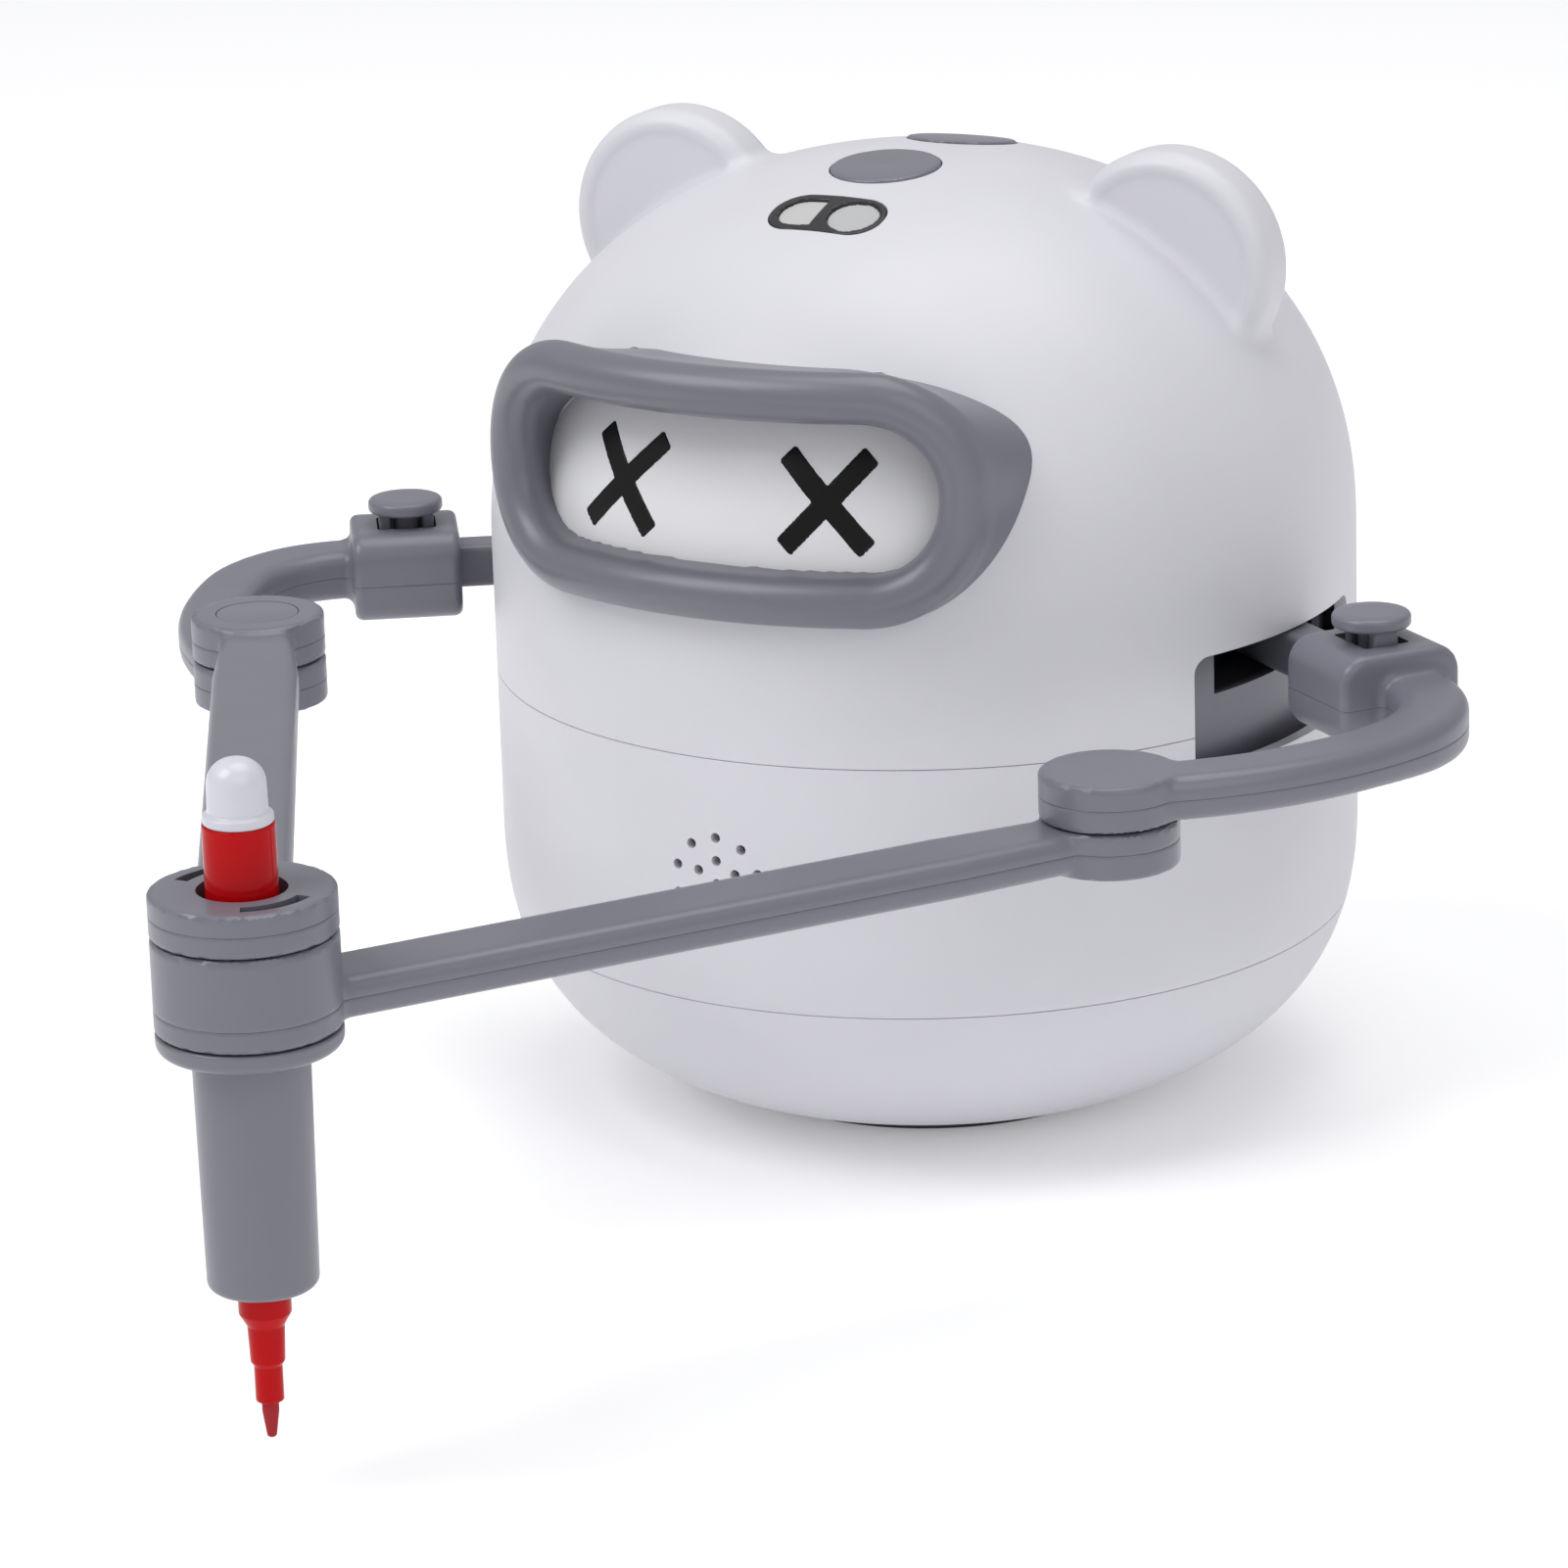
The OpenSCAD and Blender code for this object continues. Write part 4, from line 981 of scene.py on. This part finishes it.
def holder_tube():
    """Flange and tube that hang from the ring and hold the marker."""
    low = box_mm("holder_tube")[0][2]
    flange_low, flange_top = DRUM_LOW - 3.7, DRUM_LOW - 0.3
    neck_top = RIGHT_DISC + 1.7
    corners = [
        (4.7, low, 0.3), (9.1, low, 1.6), (9.6, flange_low, 0.7),
        (HOLDER_R - 0.1, flange_low, 1.8), (HOLDER_R, flange_top, 0.5), (7.75, flange_top, 0.2),
        (7.75, neck_top, 0.2), (6.2, neck_top, 0.2), (6.2, low + 2, 0), (4.7, low + 2, 0),
    ]
    tube = turned("holder_tube_moulding", filleted(corners), 128, 0, PEN[1])
    finished(tube, GREY, "right_link", ["holder_tube"])


# ---- Marker ---------------------------------------------------------------


def marker():
    """A child's fibre-tip marker: glossy barrel with a stepped nose, milky plug, felt nib."""
    tip = box_mm("marker_nib")[0][2]
    top = box_mm("marker_barrel")[1][2]
    shoulder = box_mm("holder_tube")[0][2] + 2.1
    outer = [
        (1.45, tip + 6.4, 0.15), (2.35, tip + 6.4, 0.35), (2.35, tip + 12.6, 0.3),
        (2.85, tip + 13.4, 0.3), (3.1, tip + 19.6, 0.4), (4.35, tip + 21.8, 0.5),
        (4.35, shoulder, 0.1), (5.9, shoulder, 0.4), (5.9, top, 0.25),
        (4.8, top, 0.1), (4.8, shoulder + 2, 0.2), (1.45, shoulder + 2, 0.1),
    ]
    barrel = turned("marker_barrel_moulding", filleted(outer, 4), 96, 0, PEN[1])
    window = Matrix.Translation((-2.4, PEN[1] - 1.2, tip + 9)) @ Matrix.Rotation(-math.pi / 2, 4, "Y")
    carve(barrel, prism(rect_outline(2.4, 1.8, 0.3, 3), 4, window))
    finished(barrel, RED, "marker", ["marker_barrel"])

    crown = box_mm("marker_plug")[1][2]
    rim = [
        (0, top, 0), (5.7, top, 0.5), (5.7, top + 1.6, 0.5),
        (4.9, top + 1.9, 0.4), (4.7, crown, 4.2), (0, crown, 0),
    ]
    plug = turned("marker_plug_moulding", filleted(rim, 12), 96, 0, PEN[1])
    finished(plug, PLUG, "marker", ["marker_plug"])

    felt = [(0, tip, 0), (0.75, tip, 0.5), (1.4, tip + 4.6, 1.5), (1.4, tip + 28, 0), (0, tip + 28, 0)]
    nib = turned("marker_nib_felt", filleted(felt, 6), 48, 0, PEN[1])
    finished(nib, FIBRE, "marker", ["marker_nib"])


# ---- Stage ----------------------------------------------------------------


def camera():
    """A long lens, in front of the robot and to its left, a little above it."""
    azimuth, elevation, roll = math.radians(29.846), math.radians(17.128), math.radians(-1.781)
    distance, focal_share = 1.3, 4.41137
    target = Vector((-0.02376, -0.01363, 0.05632))
    back = Vector((math.sin(azimuth) * math.cos(elevation), -math.cos(azimuth) * math.cos(elevation),
                   math.sin(elevation)))
    data = bpy.data.cameras.new("camera")
    data.sensor_width = 36
    data.lens = 36 * focal_share
    data.clip_end = 20
    cam = bpy.data.objects.new("camera", data)
    bpy.context.scene.collection.objects.link(cam)
    right = Vector((math.cos(azimuth), math.sin(azimuth), 0))
    up = back.cross(right)
    x_axis = right * math.cos(roll) + up * math.sin(roll)
    y_axis = up * math.cos(roll) - right * math.sin(roll)
    turn = Matrix((x_axis, y_axis, back)).transposed()
    cam.matrix_world = Matrix.Translation(target + back * distance) @ turn.to_4x4()
    bpy.context.scene.camera = cam


def floor():
    """A wide pale floor, which gives back a little light of its own."""
    bm = bmesh.new()
    bmesh.ops.create_grid(bm, x_segments=2, y_segments=2, size=6)
    plane = from_bmesh("floor", bm)
    material = bpy.data.materials.new("floor")
    material.use_nodes = True
    shader = material.node_tree.nodes["Principled BSDF"]
    shader.inputs["Base Color"].default_value = (0.93, 0.93, 0.935, 1)
    shader.inputs["Roughness"].default_value = 0.8
    shader.inputs["Emission Color"].default_value = (1, 1, 1, 1)
    shader.inputs["Emission Strength"].default_value = 0.18
    plane.data.materials.append(material)


def lamp(name, place, size, power, aim=(0, -0.05, 0.09)):
    """A square soft box turned towards the robot."""
    data = bpy.data.lights.new(name, "AREA")
    data.size = size
    data.energy = power
    obj = bpy.data.objects.new(name, data)
    bpy.context.scene.collection.objects.link(obj)
    obj.location = place
    obj.rotation_euler = (Vector(aim) - Vector(place)).to_track_quat("-Z", "Y").to_euler()


def lights():
    """Three soft boxes and an even, pale sky."""
    world = bpy.data.worlds.new("studio")
    bpy.context.scene.world = world
    world.use_nodes = True
    sky = world.node_tree.nodes["Background"]
    sky.inputs["Color"].default_value = (0.97, 0.975, 1, 1)
    sky.inputs["Strength"].default_value = 0.5
    lamp("key", (-0.8, -1.1, 1.6), 1.1, 17)
    lamp("fill", (1.4, -0.9, 1.0), 1.2, 5)
    lamp("top", (0.1, 0.2, 1.8), 1.3, 12)
    bpy.context.scene.view_settings.view_transform = "Standard"


# ---- Building -------------------------------------------------------------


def build():
    """Everything: the stage, the CAD nodes that stay, and the pieces that replace the others."""
    camera()
    floor()
    lights()
    dress_cad_nodes()

    finished(base_shell(), WHITE, "root", ["base_shell"])
    body = shell_ring("body_moulding", LOW_SEAM + SEAM_GAP / 2, HIGH_SEAM - SEAM_GAP / 2)
    carve(body, *side_windows(), *speaker_holes(), *rear_openings())
    finished(body, WHITE, "root", ["body_shell"])
    finished(head_shell(), WHITE, "root", ["head_shell"])
    finished(goggle_frame(), GREY, "root", ["goggle_frame"], sharp=60)
    finished(face_plate(), FACE, "root", ["face_plate"])
    for side in (-1, 1):
        finished(eye(side), INK_PRINT, "root", ["eye_marks"])
    for name, y in (("front_button", FRONT_BUTTON_Y), ("rear_button", REAR_BUTTON_Y)):
        finished(top_button(name + "_cap", y), GREY, name, [name])

    scanner()

    arm(1, ("left_arm_top", "left_arm_bottom"), "left_arm")
    arm(-1, ("right_arm_top", "right_arm_bottom"), "right_arm")
    stub("left_stub_bar", 1, "left_arm")
    stub("right_stub_bar", -1, "right_arm")
    release_button("left_release_cap", 1, "left_release", "left_release_button")
    release_button("right_release_cap", -1, "right_release", "right_release_button")
    links()
    elbow_caps()
    holder_tube()
    marker()


build()
